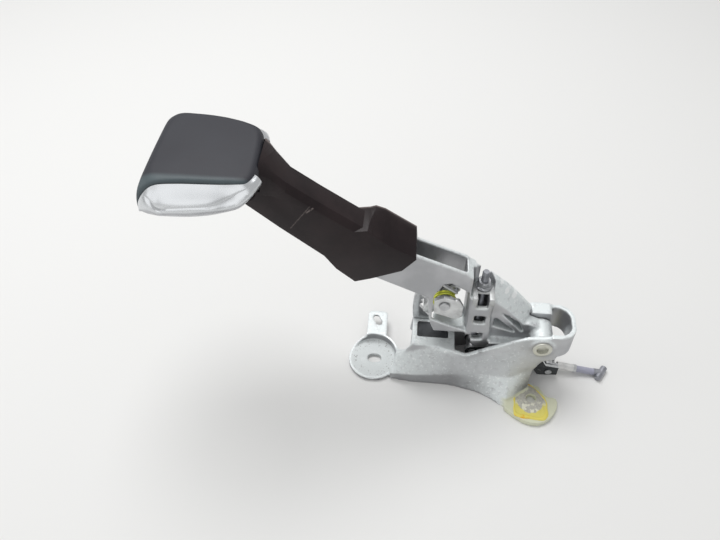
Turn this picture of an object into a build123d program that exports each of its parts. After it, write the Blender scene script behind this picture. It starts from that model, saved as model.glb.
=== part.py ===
from build123d import *
from math import cos, degrees, radians, sin
import os

# Parking brake lever with its ratchet, cable take-up and warning switch.
# Millimetres. The origin lies midway between the two rear foot holes, on the mounting plane.
# +X points to the cable end, +Y to the sector side, +Z up. The lever is modelled fully down.

# Mounting feet
foot_spacing = 72.0
rear_hole_d = 8.5
foot_t = 5.0
front_x = -143.5
front_y = -4.0
front_r = 23.0
front_floor_t = 4.0
front_wall_t = 2.2
front_wall_top = 13.5
front_rim_slope = 22.4
front_rim_turn = 54.6
front_rim_start = (-19.5, 8.8)
front_slot_len = 12.5
front_slot_w = 8.5
tab_w = 19.0
tab_reach = 49.0
tab_t = 3.0
tab_slot_len = 12.5
tab_slot_w = 6.0
tab_slot_turn = 63.0

# Cast base
base_wall = 4.0
body_step = 7.0
flat_z = 45.0
flat_front = -109.0
flat_back = -72.0
flat_half = 14.0
near_y = -22.0
far_y = 15.5
ring_back = 27.5
ring_low = 50.0
ring_top = 76.0
boss_front = -10.5
boss_back = 8.5
boss_inner_y = 3.0
boss_top = 77.5
boss_low = 53.0
boss_clear_r = 20.0
sector_pad_t = 3.0
pin_seat_t = 1.3
far_seat_t = 2.0
pin_seat_d = 21.0
pivot_z = 62.0

# Pivot pin and bushes
pin_d = 13.0
pin_cup_d = 10.0
pin_cup_depth = 3.0
pin_head_d = 16.5
pin_head_t = 1.5
bush_wall = 1.2
running_gap = 0.05
side_gap = 0.4
seat_gap = 0.3

# Lever arm casting
arm_half = 11.0
arm_wall = 3.0
hub_r = 10.0
hub_near_y = near_y + base_wall + side_gap
hub_far_y = boss_inner_y - side_gap
column_near_y = -13.0
column_far_y = 8.0
column_low = 44.5
seat_z = 109.0
spine_near_y = -9.0
spine_ridge_y = 3.0
spine_drop = 15.0
stop_web_z = 60.8
stop_web_t = 2.8
shelf_z = 56.0
shelf_t = 3.0
shelf_near_y = -16.3

# Cable take-up: threaded stud in the column, crank below it
stud_x = -55.0
stud_d = 6.0
stud_top = 129.0
stud_channel_d = 8.5
flange_d = 14.0
flange_t = 1.8
nut_af = 10.0
nut_h = 6.0
saddle_t = 2.0
saddle_lip = 6.0
window_w = 9.4
window_depth = 4.4
crank_y = 0.0
crank_pin_x = -6.0
crank_pin_z = 38.0
crank_pin_d = 6.0
crank_gap = 13.0
crank_t = 2.5
lug_t = 12.0
lug_r = 6.5
trunnion_z = 32.0
trunnion_d = 10.0
stud_hole_gap = 0.8
crank_front_r = 6.5
crank_back = 25.0
crank_low = 3.4
clevis_x = 16.8
clevis_z = 9.0
clevis_pin_d = 6.0

# Cable end
eye_d = 9.2
eye_w = 6.0
rod_end_d = 4.0
ferrule_d = 7.0
ferrule_len = 15.0
collar_d = 7.6
collar_len = 2.5
sheath_d = 6.0
tee_x = 66.5
tee_y = -2.4
tee_d = 6.0
tee_len = 15.5
tee_z = 3.1
tee_turn = 33.0

# Ratchet sector and pawl
sector_y = 14.2
sector_t = 4.0
tooth_tip_r = 102.0
tooth_depth = 2.6
sector_band = 5.9
sector_from = -9.0
sector_to = 39.5
tooth_count = 12
tooth_pitch = 3.2
first_tooth = 3.4
rivet_d = 5.0
sector_rivet_z = 33.0
sector_rivet_x = (-105.5, -94.5)
rivet_head_d = 8.0
rivet_head_t = 2.0
pawl_x = -85.0
pawl_z = 91.0
pawl_pin_d = 6.0
pawl_hub_r = 7.0
pawl_tip_angle = 5.0
pawl_tip_gap = 0.3
pawl_plate_y = 3.5
pawl_plate_t = 3.8
cheek_t = 3.0
pawl_side_gap = 0.5
pawl_boss_r = 8.5
pawl_arm = 13.0
pawl_swing = 10.9
pawl_spring_r = 9.0
pawl_spring_wire = 2.0
finger_slot_back = -91.4

# Release rod, rocker and button in the grip
rod_d = 3.0
rod_len = 207.0
rod_slope = 37.2
hook_gap = 0.5
rocker_arm = 5.6
rocker_foot = 7.5
rocker_t = 3.0
leg_half = 1.2
foot_d = 3.6
rocker_pin_d = 3.0
button_w = 28.0
button_h = 6.0
button_len = 14.0
stem_w = 9.0
stem_t = 3.6

# Sleeve and grip
sleeve_half = 13.5
sleeve_wall = 2.2
sleeve_top_wall = 2.6
sleeve_gap = 0.3
sleeve_edge = 4.5
sleeve_flare_half = 19.5
grip_front = -298.0
grip_back = -225.0
grip_half_front = 38.5
grip_half_back = 31.0
grip_low = 212.0
cover_t = 4.3
core_t = 16.2
pad_t = 8.5
lip_out = 4.0
lip_drop = 11.5
pad_edge = 4.5
trim_reach = 45.5
trim_lift = 1.2
trim_rise = 3.5
trim_gap = 0.25
trim_bevel = 32.0
core_inset = 4.5
pocket_half = 12.0
screw_d = 4.0
screw_head_d = 7.0
sleeve_screw_places = ((-133.0, 143.0), (-175.0, 166.0))
grip_screw_places = ((-284.0, -24.0), (-284.0, 24.0), (-236.0, -20.0), (-236.0, 20.0))

# Stop, switch
stop_d = 9.0
stop_x = -74.5
stop_y = 8.0
switch_x0 = -104.5
switch_x1 = -78.0
switch_y0 = -5.5
switch_y1 = 10.6
switch_h = 20.0
switch_recess = 0.8
window_gap = 0.4
plunger_d = 5.0
plunger_x = -82.0
plunger_y = 3.0
plunger_stroke_gap = 0.3
plunger_bore_gap = 0.05
blade_w = 6.3
blade_t = 0.8
blade_len = 9.0
switch_spring_wire = 0.5

XZ_FACING_NEAR = (0, -1, 0)
OVERCUT = 1.0


def side_sketch(points, corner=0.0):
    """A closed outline given as (x, z) pairs, with its corners rounded if asked."""
    outline = Polygon(*points, align=None)
    if corner > 0:
        outline = fillet(outline.vertices(), corner)
    return outline


def raise_side(sketch, y_from, y_to):
    """Extrude an (x, z) sketch between two planes of constant y."""
    plane = Plane(origin=(0, y_to, 0), x_dir=(1, 0, 0), z_dir=XZ_FACING_NEAR)
    return extrude(plane * sketch, y_to - y_from, dir=XZ_FACING_NEAR)


def side_plate(points, y_from, y_to, corner=0.0):
    return raise_side(side_sketch(points, corner), y_from, y_to)


def rod_y(x, z, diameter, y_from, y_to):
    """A cylinder lying along Y."""
    plane = Plane(origin=(x, y_from, z), x_dir=(1, 0, 0), z_dir=(0, 1, 0))
    return plane * Cylinder(diameter / 2, y_to - y_from, align=(Align.CENTER, Align.CENTER, Align.MIN))


def rod_z(x, y, diameter, z_from, z_to):
    """A cylinder standing along Z."""
    low = (Align.CENTER, Align.CENTER, Align.MIN)
    return Pos(x, y, z_from) * Cylinder(diameter / 2, z_to - z_from, align=low)


def rod_between(start, end, diameter):
    a = Vector(*start)
    b = Vector(*end)
    plane = Plane(origin=a, z_dir=(b - a).normalized())
    return plane * Cylinder(diameter / 2, (b - a).length, align=(Align.CENTER, Align.CENTER, Align.MIN))


def block(x0, x1, y0, y1, z0, z1):
    return Pos(x0, y0, z0) * Box(x1 - x0, y1 - y0, z1 - z0, align=(Align.MIN, Align.MIN, Align.MIN))


def cross_section(x, pairs):
    """A flat face at a constant x from (y, z) pairs."""
    plane = Plane(origin=(x, 0, 0), x_dir=(0, 1, 0), z_dir=(1, 0, 0))
    return plane * Polygon(*pairs, align=None)


def skin(sections):
    """Ruled solid through cross sections given as (x, pairs)."""
    return loft([cross_section(x, pairs) for x, pairs in sections], ruled=True)


def plan_plate(sketch, z_from, z_to):
    return extrude(Plane.XY.offset(z_from) * sketch, z_to - z_from, dir=(0, 0, 1))


def one(shape):
    """The single largest solid of a shape."""
    return max(shape.solids(), key=lambda solid: solid.volume)


def polar(radius, angle):
    """A point in the side view, at an angle above the horizontal in front of the lever pivot."""
    return (-radius * cos(radians(angle)), pivot_z + radius * sin(radians(angle)))


def turned(dx, dz, angle):
    """Turn a side-view vector counter-clockwise as seen with +X to the right."""
    c, s = cos(radians(angle)), sin(radians(angle))
    return (dx * c - dz * s, dx * s + dz * c)


# Side-view line of the release rod, and the two levers that it joins
rod_ux = -cos(radians(rod_slope))
rod_uz = sin(radians(rod_slope))
pawl_hook = turned(pawl_arm * rod_uz, pawl_arm * -rod_ux, -pawl_swing / 2)
pawl_hook_x = pawl_x + pawl_hook[0]
pawl_hook_z = pawl_z + pawl_hook[1]
rod_travel = radians(pawl_swing) * pawl_arm
rocker_swing = degrees(rod_travel / rocker_arm)
button_travel = radians(rocker_swing) * rocker_foot
rod_top_x = pawl_hook_x + rod_len * rod_ux
rod_top_z = pawl_hook_z + rod_len * rod_uz
rocker_hook = turned(rocker_arm * rod_uz, rocker_arm * -rod_ux, -rocker_swing / 2)
rocker_x = rod_top_x - rocker_hook[0]
rocker_z = rod_top_z - rocker_hook[1]
foot_x = rocker_x - rocker_foot * sin(radians(rocker_swing / 2))
foot_z = rocker_z - rocker_foot * cos(radians(rocker_swing / 2))

# Heights of the grip, from its lower cover up
cover_top = grip_low + cover_t
pad_low = cover_top + core_t
grip_top = pad_low + pad_t
lip_front = grip_front - lip_out
lip_low = pad_low - lip_drop
trim_low = grip_low + trim_lift
trim_top = pad_low + trim_rise

# Half profiles of the cast body: x, then (distance from the lever plane, height) from the
# ground up to the rim, on the near side and on the sector side.
body_profile = [
    (-127.0, [(23, 0), (22, 8), (9, 15), (7, 15)], [(4, 0), (3, 6), (2, 13), (0, 14)]),
    (-119.0, [(24, 0), (23.4, 9.5), (15, 26), (13.5, 26.5)], [(6, 0), (5, 7), (1, 14), (-12, 25)]),
    (-110.2, [(25, 0), (24.2, 10), (15, 34), (14.2, 42.5)], [(5, 0), (4, 8), (-1, 15), (-13, 41.5)]),
    (flat_front, [(25, 0), (24.2, 10), (15, 35), (14.6, flat_z)],
     [(20, 0), (18, 15), (15, 30), (flat_half, flat_z)]),
    (-88.0, [(25.5, 0), (24.5, 13), (17, 41.5), (15.4, flat_z)],
     [(21, 0), (18, 16), (15, 36), (14.2, flat_z)]),
    (-72.0, [(26, 0), (25, 17), (21.5, 40), (20.5, flat_z)], [(22, 0), (19, 18), (16, 38), (far_y, flat_z)]),
    (-61.0, [(28.5, 0), (26, 19), (22.5, 38), (22, 43)], [(24, 0), (20, 20), (16, 38), (far_y, 43)]),
    (-51.0, [(30.5, 0), (26.5, 21), (22.5, 44), (22, 50)], [(27, 0), (21, 22), (16, 44), (far_y, 50)]),
    (-36.0, [(37, 0), (28, 24), (23, 52), (22, 59.5)], [(34, 0), (23, 24), (16.5, 52), (far_y, 59.5)]),
    (-23.0, [(45, 0), (30, 25), (24, 55), (22, 68)], [(44, 0), (26, 25), (17, 55), (far_y, 68)]),
    (-12.0, [(35, 0), (27, 30), (23.5, 58), (22, 72.5)], [(34, 0), (22, 30), (17, 58), (far_y, 72.5)]),
    (-3.0, [(27, 0), (24.5, 32), (22.5, 60), (22, 73.5)], [(26, 0), (20, 32), (16.5, 60), (far_y, 73.5)]),
    (14.0, [(25, 0), (23.5, 40), (22.3, 60), (22, ring_top)],
     [(24, 0), (18, 40), (16, 60), (far_y, ring_top)]),
]


def body_section(near, far, inset=0.0, top=None, low=None):
    """One closed section, drawn in by the wall thickness for the hollow."""
    near_side = [(-(y - inset), z) for y, z in near]
    far_side = [(y - inset, z) for y, z in far]
    if top is not None:
        near_side[-1] = (near_side[-1][0], top)
        far_side[-1] = (far_side[-1][0], top)
    if low is not None:
        near_side[0] = (near_side[0][0], low)
        far_side[0] = (far_side[0][0], low)
    return near_side + far_side[::-1]


def eased(xs, values, x):
    """A smooth curve through the values that never overshoots them (cubic, with its slopes limited)."""
    steps = [(v1 - v0) / (x1 - x0) for x0, x1, v0, v1 in zip(xs, xs[1:], values, values[1:])]
    slopes = [steps[0]]
    for before, after in zip(steps, steps[1:]):
        slopes.append(0.0 if before * after <= 0 else 2 * before * after / (before + after))
    slopes.append(steps[-1])
    i = max(k for k in range(len(xs) - 1) if xs[k] <= x + 1e-9)
    run = xs[i + 1] - xs[i]
    t = (x - xs[i]) / run
    start = values[i] * (1 + 2 * t) * (1 - t) ** 2 + slopes[i] * run * t * (1 - t) ** 2
    return start + values[i + 1] * t * t * (3 - 2 * t) - slopes[i + 1] * run * t * t * (1 - t)


def between(x):
    """The near and far body profiles at any x, each point on an eased curve through the stations."""
    xs = [station[0] for station in body_profile]
    sides = []
    for side in (1, 2):
        points = []
        for k in range(len(body_profile[0][side])):
            ys = [station[side][k][0] for station in body_profile]
            zs = [station[side][k][1] for station in body_profile]
            points.append((eased(xs, ys, x), eased(xs, zs, x)))
        sides.append(points)
    return sides


def stations(x_from, x_to):
    """Evenly spread cuts between two places, about body_step apart, with the profile's own stations."""
    own = [station[0] for station in body_profile if x_from < station[0] < x_to]
    cuts = [x_from, *own, x_to]
    filled = []
    for x0, x1 in zip(cuts, cuts[1:]):
        count = max(1, round((x1 - x0) / body_step))
        filled += [x0 + (x1 - x0) * k / count for k in range(count)]
    return filled + [x_to]


def rear_foot(side):
    """Lobed pad around one rear hole; side is -1 near, +1 far."""
    hole_y = side * foot_spacing / 2
    outline = [
        (-3, side * 18), (3.8, side * 21), (7.5, side * 23), (10, side * 27), (12.3, side * 31),
        (14.4, side * 33), (20, side * 33.6), (22.6, side * 35.4), (23.2, side * 38.2), (22.3, side * 44),
        (19.5, side * 49.6), (15, side * 55.3), (10, side * 59.2), (4.3, side * 61.3), (-2, side * 61.3),
        (-8.5, side * 59.6), (-16.5, side * 54.6), (-25, side * 47.5), (-19, side * 28),
    ]
    pad = plan_plate(Polygon(*outline, align=None), 0, foot_t)
    return pad, rod_z(0, hole_y, rear_hole_d, -OVERCUT, foot_t + OVERCUT)


def front_foot():
    """Round cup with a wall on its far right side, and the small tab above it."""
    disc = rod_z(front_x, front_y, 2 * front_r, 0, front_wall_top)
    inner = rod_z(front_x, front_y, 2 * (front_r - front_wall_t), front_floor_t, front_wall_top + OVERCUT)
    start = (front_x + front_rim_start[0], front_y + front_rim_start[1], front_floor_t)
    cutter = Plane(origin=start) * Rot(0, 0, front_rim_turn) * Rot(0, -front_rim_slope, 0)
    sky = cutter * Box(6 * front_r, 6 * front_r, 60, align=(Align.CENTER, Align.CENTER, Align.MIN))
    sky &= rod_z(front_x, front_y, 3 * front_r, front_floor_t, 60)
    cup = disc - inner - sky
    tab_x = front_x + 1.5
    tab_sketch = Rectangle(tab_w, tab_reach - front_r + 6)
    tab_sketch = fillet(tab_sketch.vertices().group_by(Axis.Y)[-1], 4)
    tab_y = front_y + (front_r - 6 + tab_reach) / 2
    tab_low = front_wall_top - tab_t
    tab = Pos(tab_x, tab_y, tab_low) * extrude(tab_sketch, tab_t)
    tab -= rod_z(front_x, front_y, 2 * (front_r - front_wall_t), 0, front_wall_top + OVERCUT)
    tab_slot = Rot(0, 0, -tab_slot_turn) * SlotOverall(tab_slot_len, tab_slot_w)
    tab -= Pos(tab_x, front_y + tab_reach - 11, tab_low - OVERCUT) * extrude(tab_slot, tab_t + 2 * OVERCUT)
    slot_sketch = SlotOverall(front_slot_len, front_slot_w)
    slot = Pos(front_x + 1, front_y, -OVERCUT) * extrude(slot_sketch, foot_t + 6)
    return cup, tab, slot


def base_bracket():
    """Hollow cast body with the walls that carry the lever pivot, and three feet."""
    body = skin([(x, body_section(*between(x))) for x in stations(body_profile[0][0], body_profile[-1][0])])
    under_flat = skin([
        (x, body_section(*between(x), inset=base_wall, top=flat_z - base_wall, low=-OVERCUT))
        for x in stations(flat_front + base_wall, flat_back - base_wall)
    ])
    well_x = stations(flat_back, body_profile[-1][0])
    well = skin([
        (x, body_section(*between(x), inset=base_wall, top=boss_top + 10, low=-OVERCUT)) for x in well_x
    ])
    arch = side_sketch([
        (-3, -2), (-3, 18), (-2, 32), (3.5, 43.5), (9.5, 45), (16, 48), (20, 58), (60, 58), (60, -2),
    ])
    body -= under_flat
    body -= well
    body -= raise_side(arch, -90, 90)
    mid_y = (near_y + far_y) / 2
    half = (far_y - near_y) / 2
    outer = Pos(-2, mid_y) * Rectangle(2 * (ring_back + 2), 2 * half)
    outer = fillet(outer.vertices().group_by(Axis.X)[-1], 15)
    inner = offset(outer, -base_wall)
    ring = plan_plate(outer - inner, ring_low, ring_top) & block(6, 40, -40, 40, 0, 100)
    boss = block(boss_front, boss_back, boss_inner_y, far_y, boss_low, boss_top)
    boss = chamfer(boss.edges().filter_by(Axis.Y).group_by(Axis.Z)[-1], 1.5)
    body += ring
    body += boss
    for side in (-1, 1):
        pad, hole = rear_foot(side)
        body = body + pad - hole
    cup, tab, slot = front_foot()
    neck_clear = rod_z(front_x, front_y, 2 * (front_r - front_wall_t), front_floor_t, 60)
    body = (body - neck_clear) + cup + tab - slot
    body -= block(-114, -86.5, sector_y, 40, 22, flat_z + OVERCUT)
    body += block(-108, -89, sector_y - sector_pad_t, sector_y, 22, flat_z - 2)
    body += rod_y(0, pivot_z, pin_seat_d, near_y - pin_seat_t, near_y + 2)
    body += rod_y(0, pivot_z, pin_seat_d, far_y - 2, far_y + far_seat_t)
    for rivet_x in sector_rivet_x:
        body -= rod_y(rivet_x, sector_rivet_z, rivet_d, 0, 40)
    body -= block(switch_x0 - window_gap, switch_x1 + window_gap, switch_y0 - window_gap,
                  switch_y1 + window_gap, flat_z - switch_h - 3, flat_z + OVERCUT)
    body -= rod_y(0, pivot_z, pin_d, near_y - 4, far_y + 4)
    return one(body)


tooth_root_r = tooth_tip_r + tooth_depth
sector_outer_r = tooth_root_r + sector_band


def ratchet_sector():
    """Pressed steel sector, with its teeth on the inner edge facing the pivot."""
    points = [polar(sector_outer_r, a) for a in range(int(sector_to), int(sector_from) - 1, -4)]
    points += [(-111.0, 28.0), (-108.0, 25.0), (-92.0, 25.0), (-89.5, 28.0), (-89.5, 38.0)]
    points.append(polar(tooth_root_r - 8, sector_from + 2))
    points.append(polar(tooth_root_r, first_tooth - tooth_pitch))
    for i in range(tooth_count):
        at = first_tooth + i * tooth_pitch
        points.append(polar(tooth_root_r, at - tooth_pitch * 0.45))
        points.append(polar(tooth_tip_r, at - tooth_pitch * 0.1))
        points.append(polar(tooth_root_r, at + tooth_pitch * 0.45))
    points.append(polar(tooth_root_r, sector_to))
    plate = side_plate(points, sector_y, sector_y + sector_t)
    for rivet_x in sector_rivet_x:
        plate -= rod_y(rivet_x, sector_rivet_z, rivet_d, 0, 40)
    return one(plate)


def sector_rivets():
    """Two rivets that clamp the sector to the cast pad."""
    pad_inner = sector_y - sector_pad_t
    rivets = []
    for x in sector_rivet_x:
        outer = sector_y + sector_t
        shank = rod_y(x, sector_rivet_z, rivet_d, pad_inner, outer + rivet_head_t / 2)
        head = rod_y(x, sector_rivet_z, rivet_head_d, outer, outer + rivet_head_t)
        head = fillet(head.edges().group_by(Axis.Y)[-1], rivet_head_t * 0.45)
        rivets.append(one(shank + head))
    return Compound(rivets)


def pivot_pin():
    """Riveted pin, each end cupped and flared over the outer wall face."""
    near_seat = near_y - pin_seat_t
    far_seat = far_y + far_seat_t
    pin = rod_y(0, pivot_z, pin_d, near_seat, far_seat)
    for y_in, y_out in ((near_seat, near_seat - pin_head_t), (far_seat, far_seat + pin_head_t)):
        head = rod_y(0, pivot_z, pin_head_d, min(y_in, y_out), max(y_in, y_out))
        outer_edge = head.edges().sort_by(lambda e: abs(e.center().Y))[-1]
        pin += fillet(outer_edge, pin_head_t * 0.6)
    pin -= rod_y(0, pivot_z, pin_cup_d, near_seat - 5, near_seat - pin_head_t + pin_cup_depth)
    pin -= rod_y(0, pivot_z, pin_cup_d, far_seat + pin_head_t - pin_cup_depth, far_seat + 5)
    return one(pin)


def hub_bushes():
    """Two plastic bushes between the pin and the hub, pressed in from each face."""
    bushes = []
    length = 8.0
    outer_d = pin_d + 2 * (running_gap + bush_wall)
    for y0, y1 in ((hub_near_y, hub_near_y + length), (hub_far_y - length, hub_far_y)):
        tube = rod_y(0, pivot_z, outer_d, y0, y1) - rod_y(0, pivot_z, pin_d + 2 * running_gap, y0 - 1, y1 + 1)
        bushes.append(one(tube))
    return Compound(bushes)


arm_outline = [
    (-236, 205), (-215, 185), (-183, 157), (-168, 141.8), (-155, 131), (-145, 126), (-100, 104),
    (-96.5, 73), (-92, stop_web_z), (-60.5, stop_web_z), (-59.2, 50), (-57, 45.7), (-54, column_low),
    (-46, column_low), (-43.3, 47), (-43, shelf_z - shelf_t), (-14, shelf_z - shelf_t), (-5, 53.4), (0, 60),
    (-4, 71), (-11, 83), (-22, 96), (-33, 108), (-51, 123), (-68.5, 133.5), (-71, 136), (-112, 153),
    (-118, 154.5), (-135, 162), (-152, 171), (-170, 182), (-222, 219), (-236, 224),
]
arm_hollow = [
    (-240, 213), (-215, 189.3), (-183, 161.4), (-168, 146.2), (-155, 135.0), (-145, 129.6), (-104, 109.4),
    (-104, 104), (-112, 104), (-112, 50), (-96, 50), (-92.5, stop_web_z + stop_web_t),
    (-66, stop_web_z + stop_web_t), (-68, 116), (-71, 119), (-71, 180), (-152, 210), (-222, 260), (-240, 260),
]
near_window = [
    (-95, 76.5), (-80, 69.7), (-64.5, 64.0), (-66.8, 113.5), (-82, 123), (-87.5, 122), (-95, 106.5),
]
far_window = [(-76, 72), (-67, 72), (-67.5, 113.5), (-76, 118)]


def lever_arm():
    """One casting: open box arm, take-up column, spine, hub and the lug for the crank."""
    flat = one(side_plate(arm_outline, -arm_half, arm_half))
    front = flat & block(-300, stud_x - 8, -30, 30, 0, 300)
    column_points = [(-64.8, seat_z), (-64.8, stop_web_z), (-60.5, stop_web_z), (-59.2, 50), (-57, 45.7),
                     (-54, column_low), (-46, column_low),
                     (-43.3, 47), (-43, 56), (-46.5, 86), (-46.5, seat_z)]
    column = side_plate(column_points, column_near_y, column_far_y)
    ridge = flat & block(-72, 20, spine_ridge_y, column_far_y, 0, 300)
    spine_x = (-46.6, -33.0, -22.0, -12.0)
    ridge_z = (119.3, 108.0, 96.0, 84.0)
    spine = skin([
        (x, [(column_far_y, shelf_z - 1), (column_far_y, zr), (spine_ridge_y, zr),
             (spine_near_y, zr - spine_drop),
             (spine_near_y, shelf_z - 1)])
        for x, zr in zip(spine_x, ridge_z)
    ])
    shelf = side_plate([(-44, shelf_z - shelf_t), (-7, shelf_z - shelf_t), (-7, shelf_z), (-44, shelf_z)],
                       shelf_near_y, column_far_y)
    reach_points = [(-16, 56), (-4, 53), (4, 60), (-2, 71.5), (-12, 76), (-16, 76)]
    reach = side_plate(reach_points, spine_near_y, hub_far_y)
    swing_clear = rod_y(0, pivot_z, 2 * boss_clear_r, hub_far_y, 30)
    body = front + column + ridge + spine
    body += shelf
    body += reach
    body += rod_y(0, pivot_z, 2 * hub_r, hub_near_y, hub_far_y)
    lug = rod_y(crank_pin_x, crank_pin_z, 2 * lug_r, crank_y - lug_t / 2, crank_y + lug_t / 2)
    lug += side_plate([(-12.4, 38), (-9.5, 58), (8, 58), (0.4, 38)], crank_y - lug_t / 2, crank_y + lug_t / 2)
    body += lug
    body -= swing_clear
    body -= side_plate(arm_hollow, -arm_half + arm_wall, arm_half - arm_wall)
    body -= side_plate(near_window, -arm_half - 3, -arm_half + arm_wall + OVERCUT)
    body -= side_plate(far_window, 0, arm_half + 3)
    body -= block(-102, finger_slot_back, arm_half - arm_wall - OVERCUT, arm_half + 3, 40, 93)
    pawl_boss_y = pawl_plate_y + pawl_plate_t + pawl_side_gap
    body += rod_y(pawl_x, pawl_z, 2 * pawl_boss_r, pawl_boss_y, arm_half)
    body -= rod_y(pawl_x, pawl_z, pawl_pin_d, -30, 30)
    upper_pocket = [(-41, 92), (-21, 77), (-14.5, 64), (-18, 66)]
    lower_pocket = [(-42.5, 83), (-19, 62), (-42, 70.5)]
    for pocket in (upper_pocket, lower_pocket):
        body -= side_plate(pocket, spine_near_y - OVERCUT, spine_ridge_y - 1)
    bush_d = pin_d + 2 * (running_gap + bush_wall)
    body -= rod_y(0, pivot_z, bush_d, hub_near_y - 2, hub_far_y + 2)
    body -= rod_y(crank_pin_x, crank_pin_z, crank_pin_d, -30, 30)
    body -= rod_z(stud_x, 0, stud_channel_d, 30, seat_z + 40) & block(-70, -40, -4.3, 4.3, 30, seat_z + 40)
    nut_room = rod_z(stud_x, 0, flange_d + 3, seat_z, 160)
    body -= nut_room
    body -= block(-65.5, -46, -20, spine_ridge_y, seat_z, 160)
    window_x0 = stud_x - window_w / 2
    window_x1 = stud_x + window_w / 2
    for low, high in ((97, seat_z + OVERCUT), (77, 87), (55, 64)):
        body -= block(window_x0, window_x1, -20, 0, low, high)
    body -= block(window_x0, window_x1, column_near_y + window_depth, stud_channel_d / 2, 51, seat_z + 40)
    for x, z in sleeve_screw_places:
        body -= rod_y(x, z, screw_d - 0.6, arm_half - arm_wall - 1, arm_half + 4)
    return one(body)


def saddle():
    """Bright steel seat under the nut, with two ears folded over the column face."""
    x0 = -63.8
    x1 = -46.2
    plate = block(x0, x1, column_near_y - 1.5, spine_ridge_y - 0.3, seat_z, seat_z + saddle_t)
    lip = block(x0, x1, column_near_y - 1.5, column_near_y, seat_z - saddle_lip, seat_z + saddle_t)
    body = plate + lip
    body -= rod_z(stud_x, 0, stud_d + 1.0, seat_z - 1, seat_z + 10)
    body -= block(stud_x - window_w / 2, stud_x + window_w / 2, -30, -flange_d / 2, seat_z - 20, seat_z + 10)
    return one(body)


def hexagon(across_flats, z_from, z_to, x, y):
    sketch = RegularPolygon(across_flats / 2, 6, major_radius=False)
    return Pos(x, y, z_from) * extrude(sketch, z_to - z_from)


def adjuster_nut():
    """Flanged hexagon nut that takes up the cable."""
    z0 = seat_z + saddle_t
    nut = rod_z(stud_x, 0, flange_d, z0, z0 + flange_t)
    nut += hexagon(nut_af, z0 + flange_t, z0 + flange_t + nut_h, stud_x, 0)
    return one(nut - rod_z(stud_x, 0, stud_d + 2 * running_gap, z0 - 1, z0 + 20))


def adjuster_stud():
    """Threaded stud through the column, with a hexagon head under the trunnion."""
    head_top = trunnion_z - trunnion_d / 2 - seat_gap
    stud = rod_z(stud_x, 0, stud_d, head_top - 4, stud_top)
    stud = chamfer(stud.edges().group_by(Axis.Z)[-1], 0.8)
    stud += hexagon(nut_af, head_top - 4, head_top, stud_x, 0)
    return one(stud)


def cable_crank():
    """Folded steel channel: two cheeks and a web, open above, pinned under the hub."""
    inner = crank_gap / 2
    outer = inner + crank_t
    front = rod_y(stud_x, trunnion_z, 2 * crank_front_r, -outer, outer)
    middle = rod_y(crank_pin_x, crank_pin_z, 2 * crank_front_r, -outer, outer)
    arm = side_plate([(stud_x, trunnion_z - crank_front_r), (crank_pin_x, crank_pin_z - crank_front_r),
                      (crank_pin_x, crank_pin_z + crank_front_r), (stud_x, trunnion_z + crank_front_r)], -outer, outer)
    tail = side_plate([(crank_pin_x - 6, crank_pin_z - 2.5), (7, crank_low + 1), (10, crank_low),
                       (crank_back, crank_low + 1.3), (crank_back, 15.5), (13, 17.5), (crank_pin_x + 4.5, crank_pin_z + 4.7)],
                      -outer, outer)
    cheeks = front + middle + arm + tail
    web_keep = block(4, crank_back + 1, -outer, outer, 0, crank_low + 1.8)
    hollow = block(-80, 60, -inner, inner, -10, 90) - web_keep
    crank = Pos(0, crank_y, 0) * (cheeks - hollow)
    crank -= block(clevis_x - eye_d / 2 - 0.7, crank_back + 5, crank_y - eye_w / 2 - 0.7, crank_y + eye_w / 2 + 0.7,
                   0, crank_low + 4)
    for x, z, d in ((crank_pin_x, crank_pin_z, crank_pin_d), (clevis_x, clevis_z, clevis_pin_d),
                    (stud_x, trunnion_z, trunnion_d - 3)):
        crank -= rod_y(x, z, d, -30, 30)
    return one(crank)


def crank_pin():
    length = crank_gap / 2 + crank_t
    pin = rod_y(crank_pin_x, crank_pin_z, crank_pin_d - 2 * running_gap, crank_y - length - 1, crank_y + length + 1)
    return one(chamfer(pin.edges().filter_by(GeomType.CIRCLE), 0.5))


def trunnion():
    """Cross barrel that the stud pulls up, its necks held in the crank cheeks."""
    inner = crank_gap / 2
    barrel = rod_y(stud_x, trunnion_z, trunnion_d, crank_y - inner + 0.2, crank_y + inner - 0.2)
    necks = rod_y(stud_x, trunnion_z, trunnion_d - 3, crank_y - inner - crank_t, crank_y + inner + crank_t)
    return one(barrel + necks - rod_z(stud_x, 0, stud_d + 2 * stud_hole_gap, 20, 45))


def clevis_pin():
    length = crank_gap / 2 + crank_t + 0.8
    return one(rod_y(clevis_x, clevis_z, clevis_pin_d, crank_y - length, crank_y + length))


tee_centre = (tee_x, tee_y, tee_z)
eye_centre = (clevis_x, crank_y, clevis_z)


def along_cable(distance):
    """A point on the line from the eye to the cross bar."""
    line = Vector(*tee_centre) - Vector(*eye_centre)
    p = Vector(*eye_centre) + line.normalized() * distance
    return (p.X, p.Y, p.Z)


ferrule_from = 9.0
ferrule_to = ferrule_from + ferrule_len
collar_to = ferrule_to + collar_len
tee_reach = (Vector(*tee_centre) - Vector(*eye_centre)).length


def cable_rod():
    """Eye and round rod that runs through the ferrule to the cross bar."""
    eye = rod_y(clevis_x, clevis_z, eye_d, crank_y - eye_w / 2, crank_y + eye_w / 2)
    rod = rod_between(along_cable(2), along_cable(tee_reach - 1), rod_end_d)
    body = eye + rod - rod_y(clevis_x, clevis_z, clevis_pin_d + 2 * running_gap, -20, 20)
    return one(body)


def tube_on_cable(start, end, diameter):
    bore = rod_between(along_cable(start - 1), along_cable(end + 1), rod_end_d)
    return one(rod_between(along_cable(start), along_cable(end), diameter) - bore)


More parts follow.
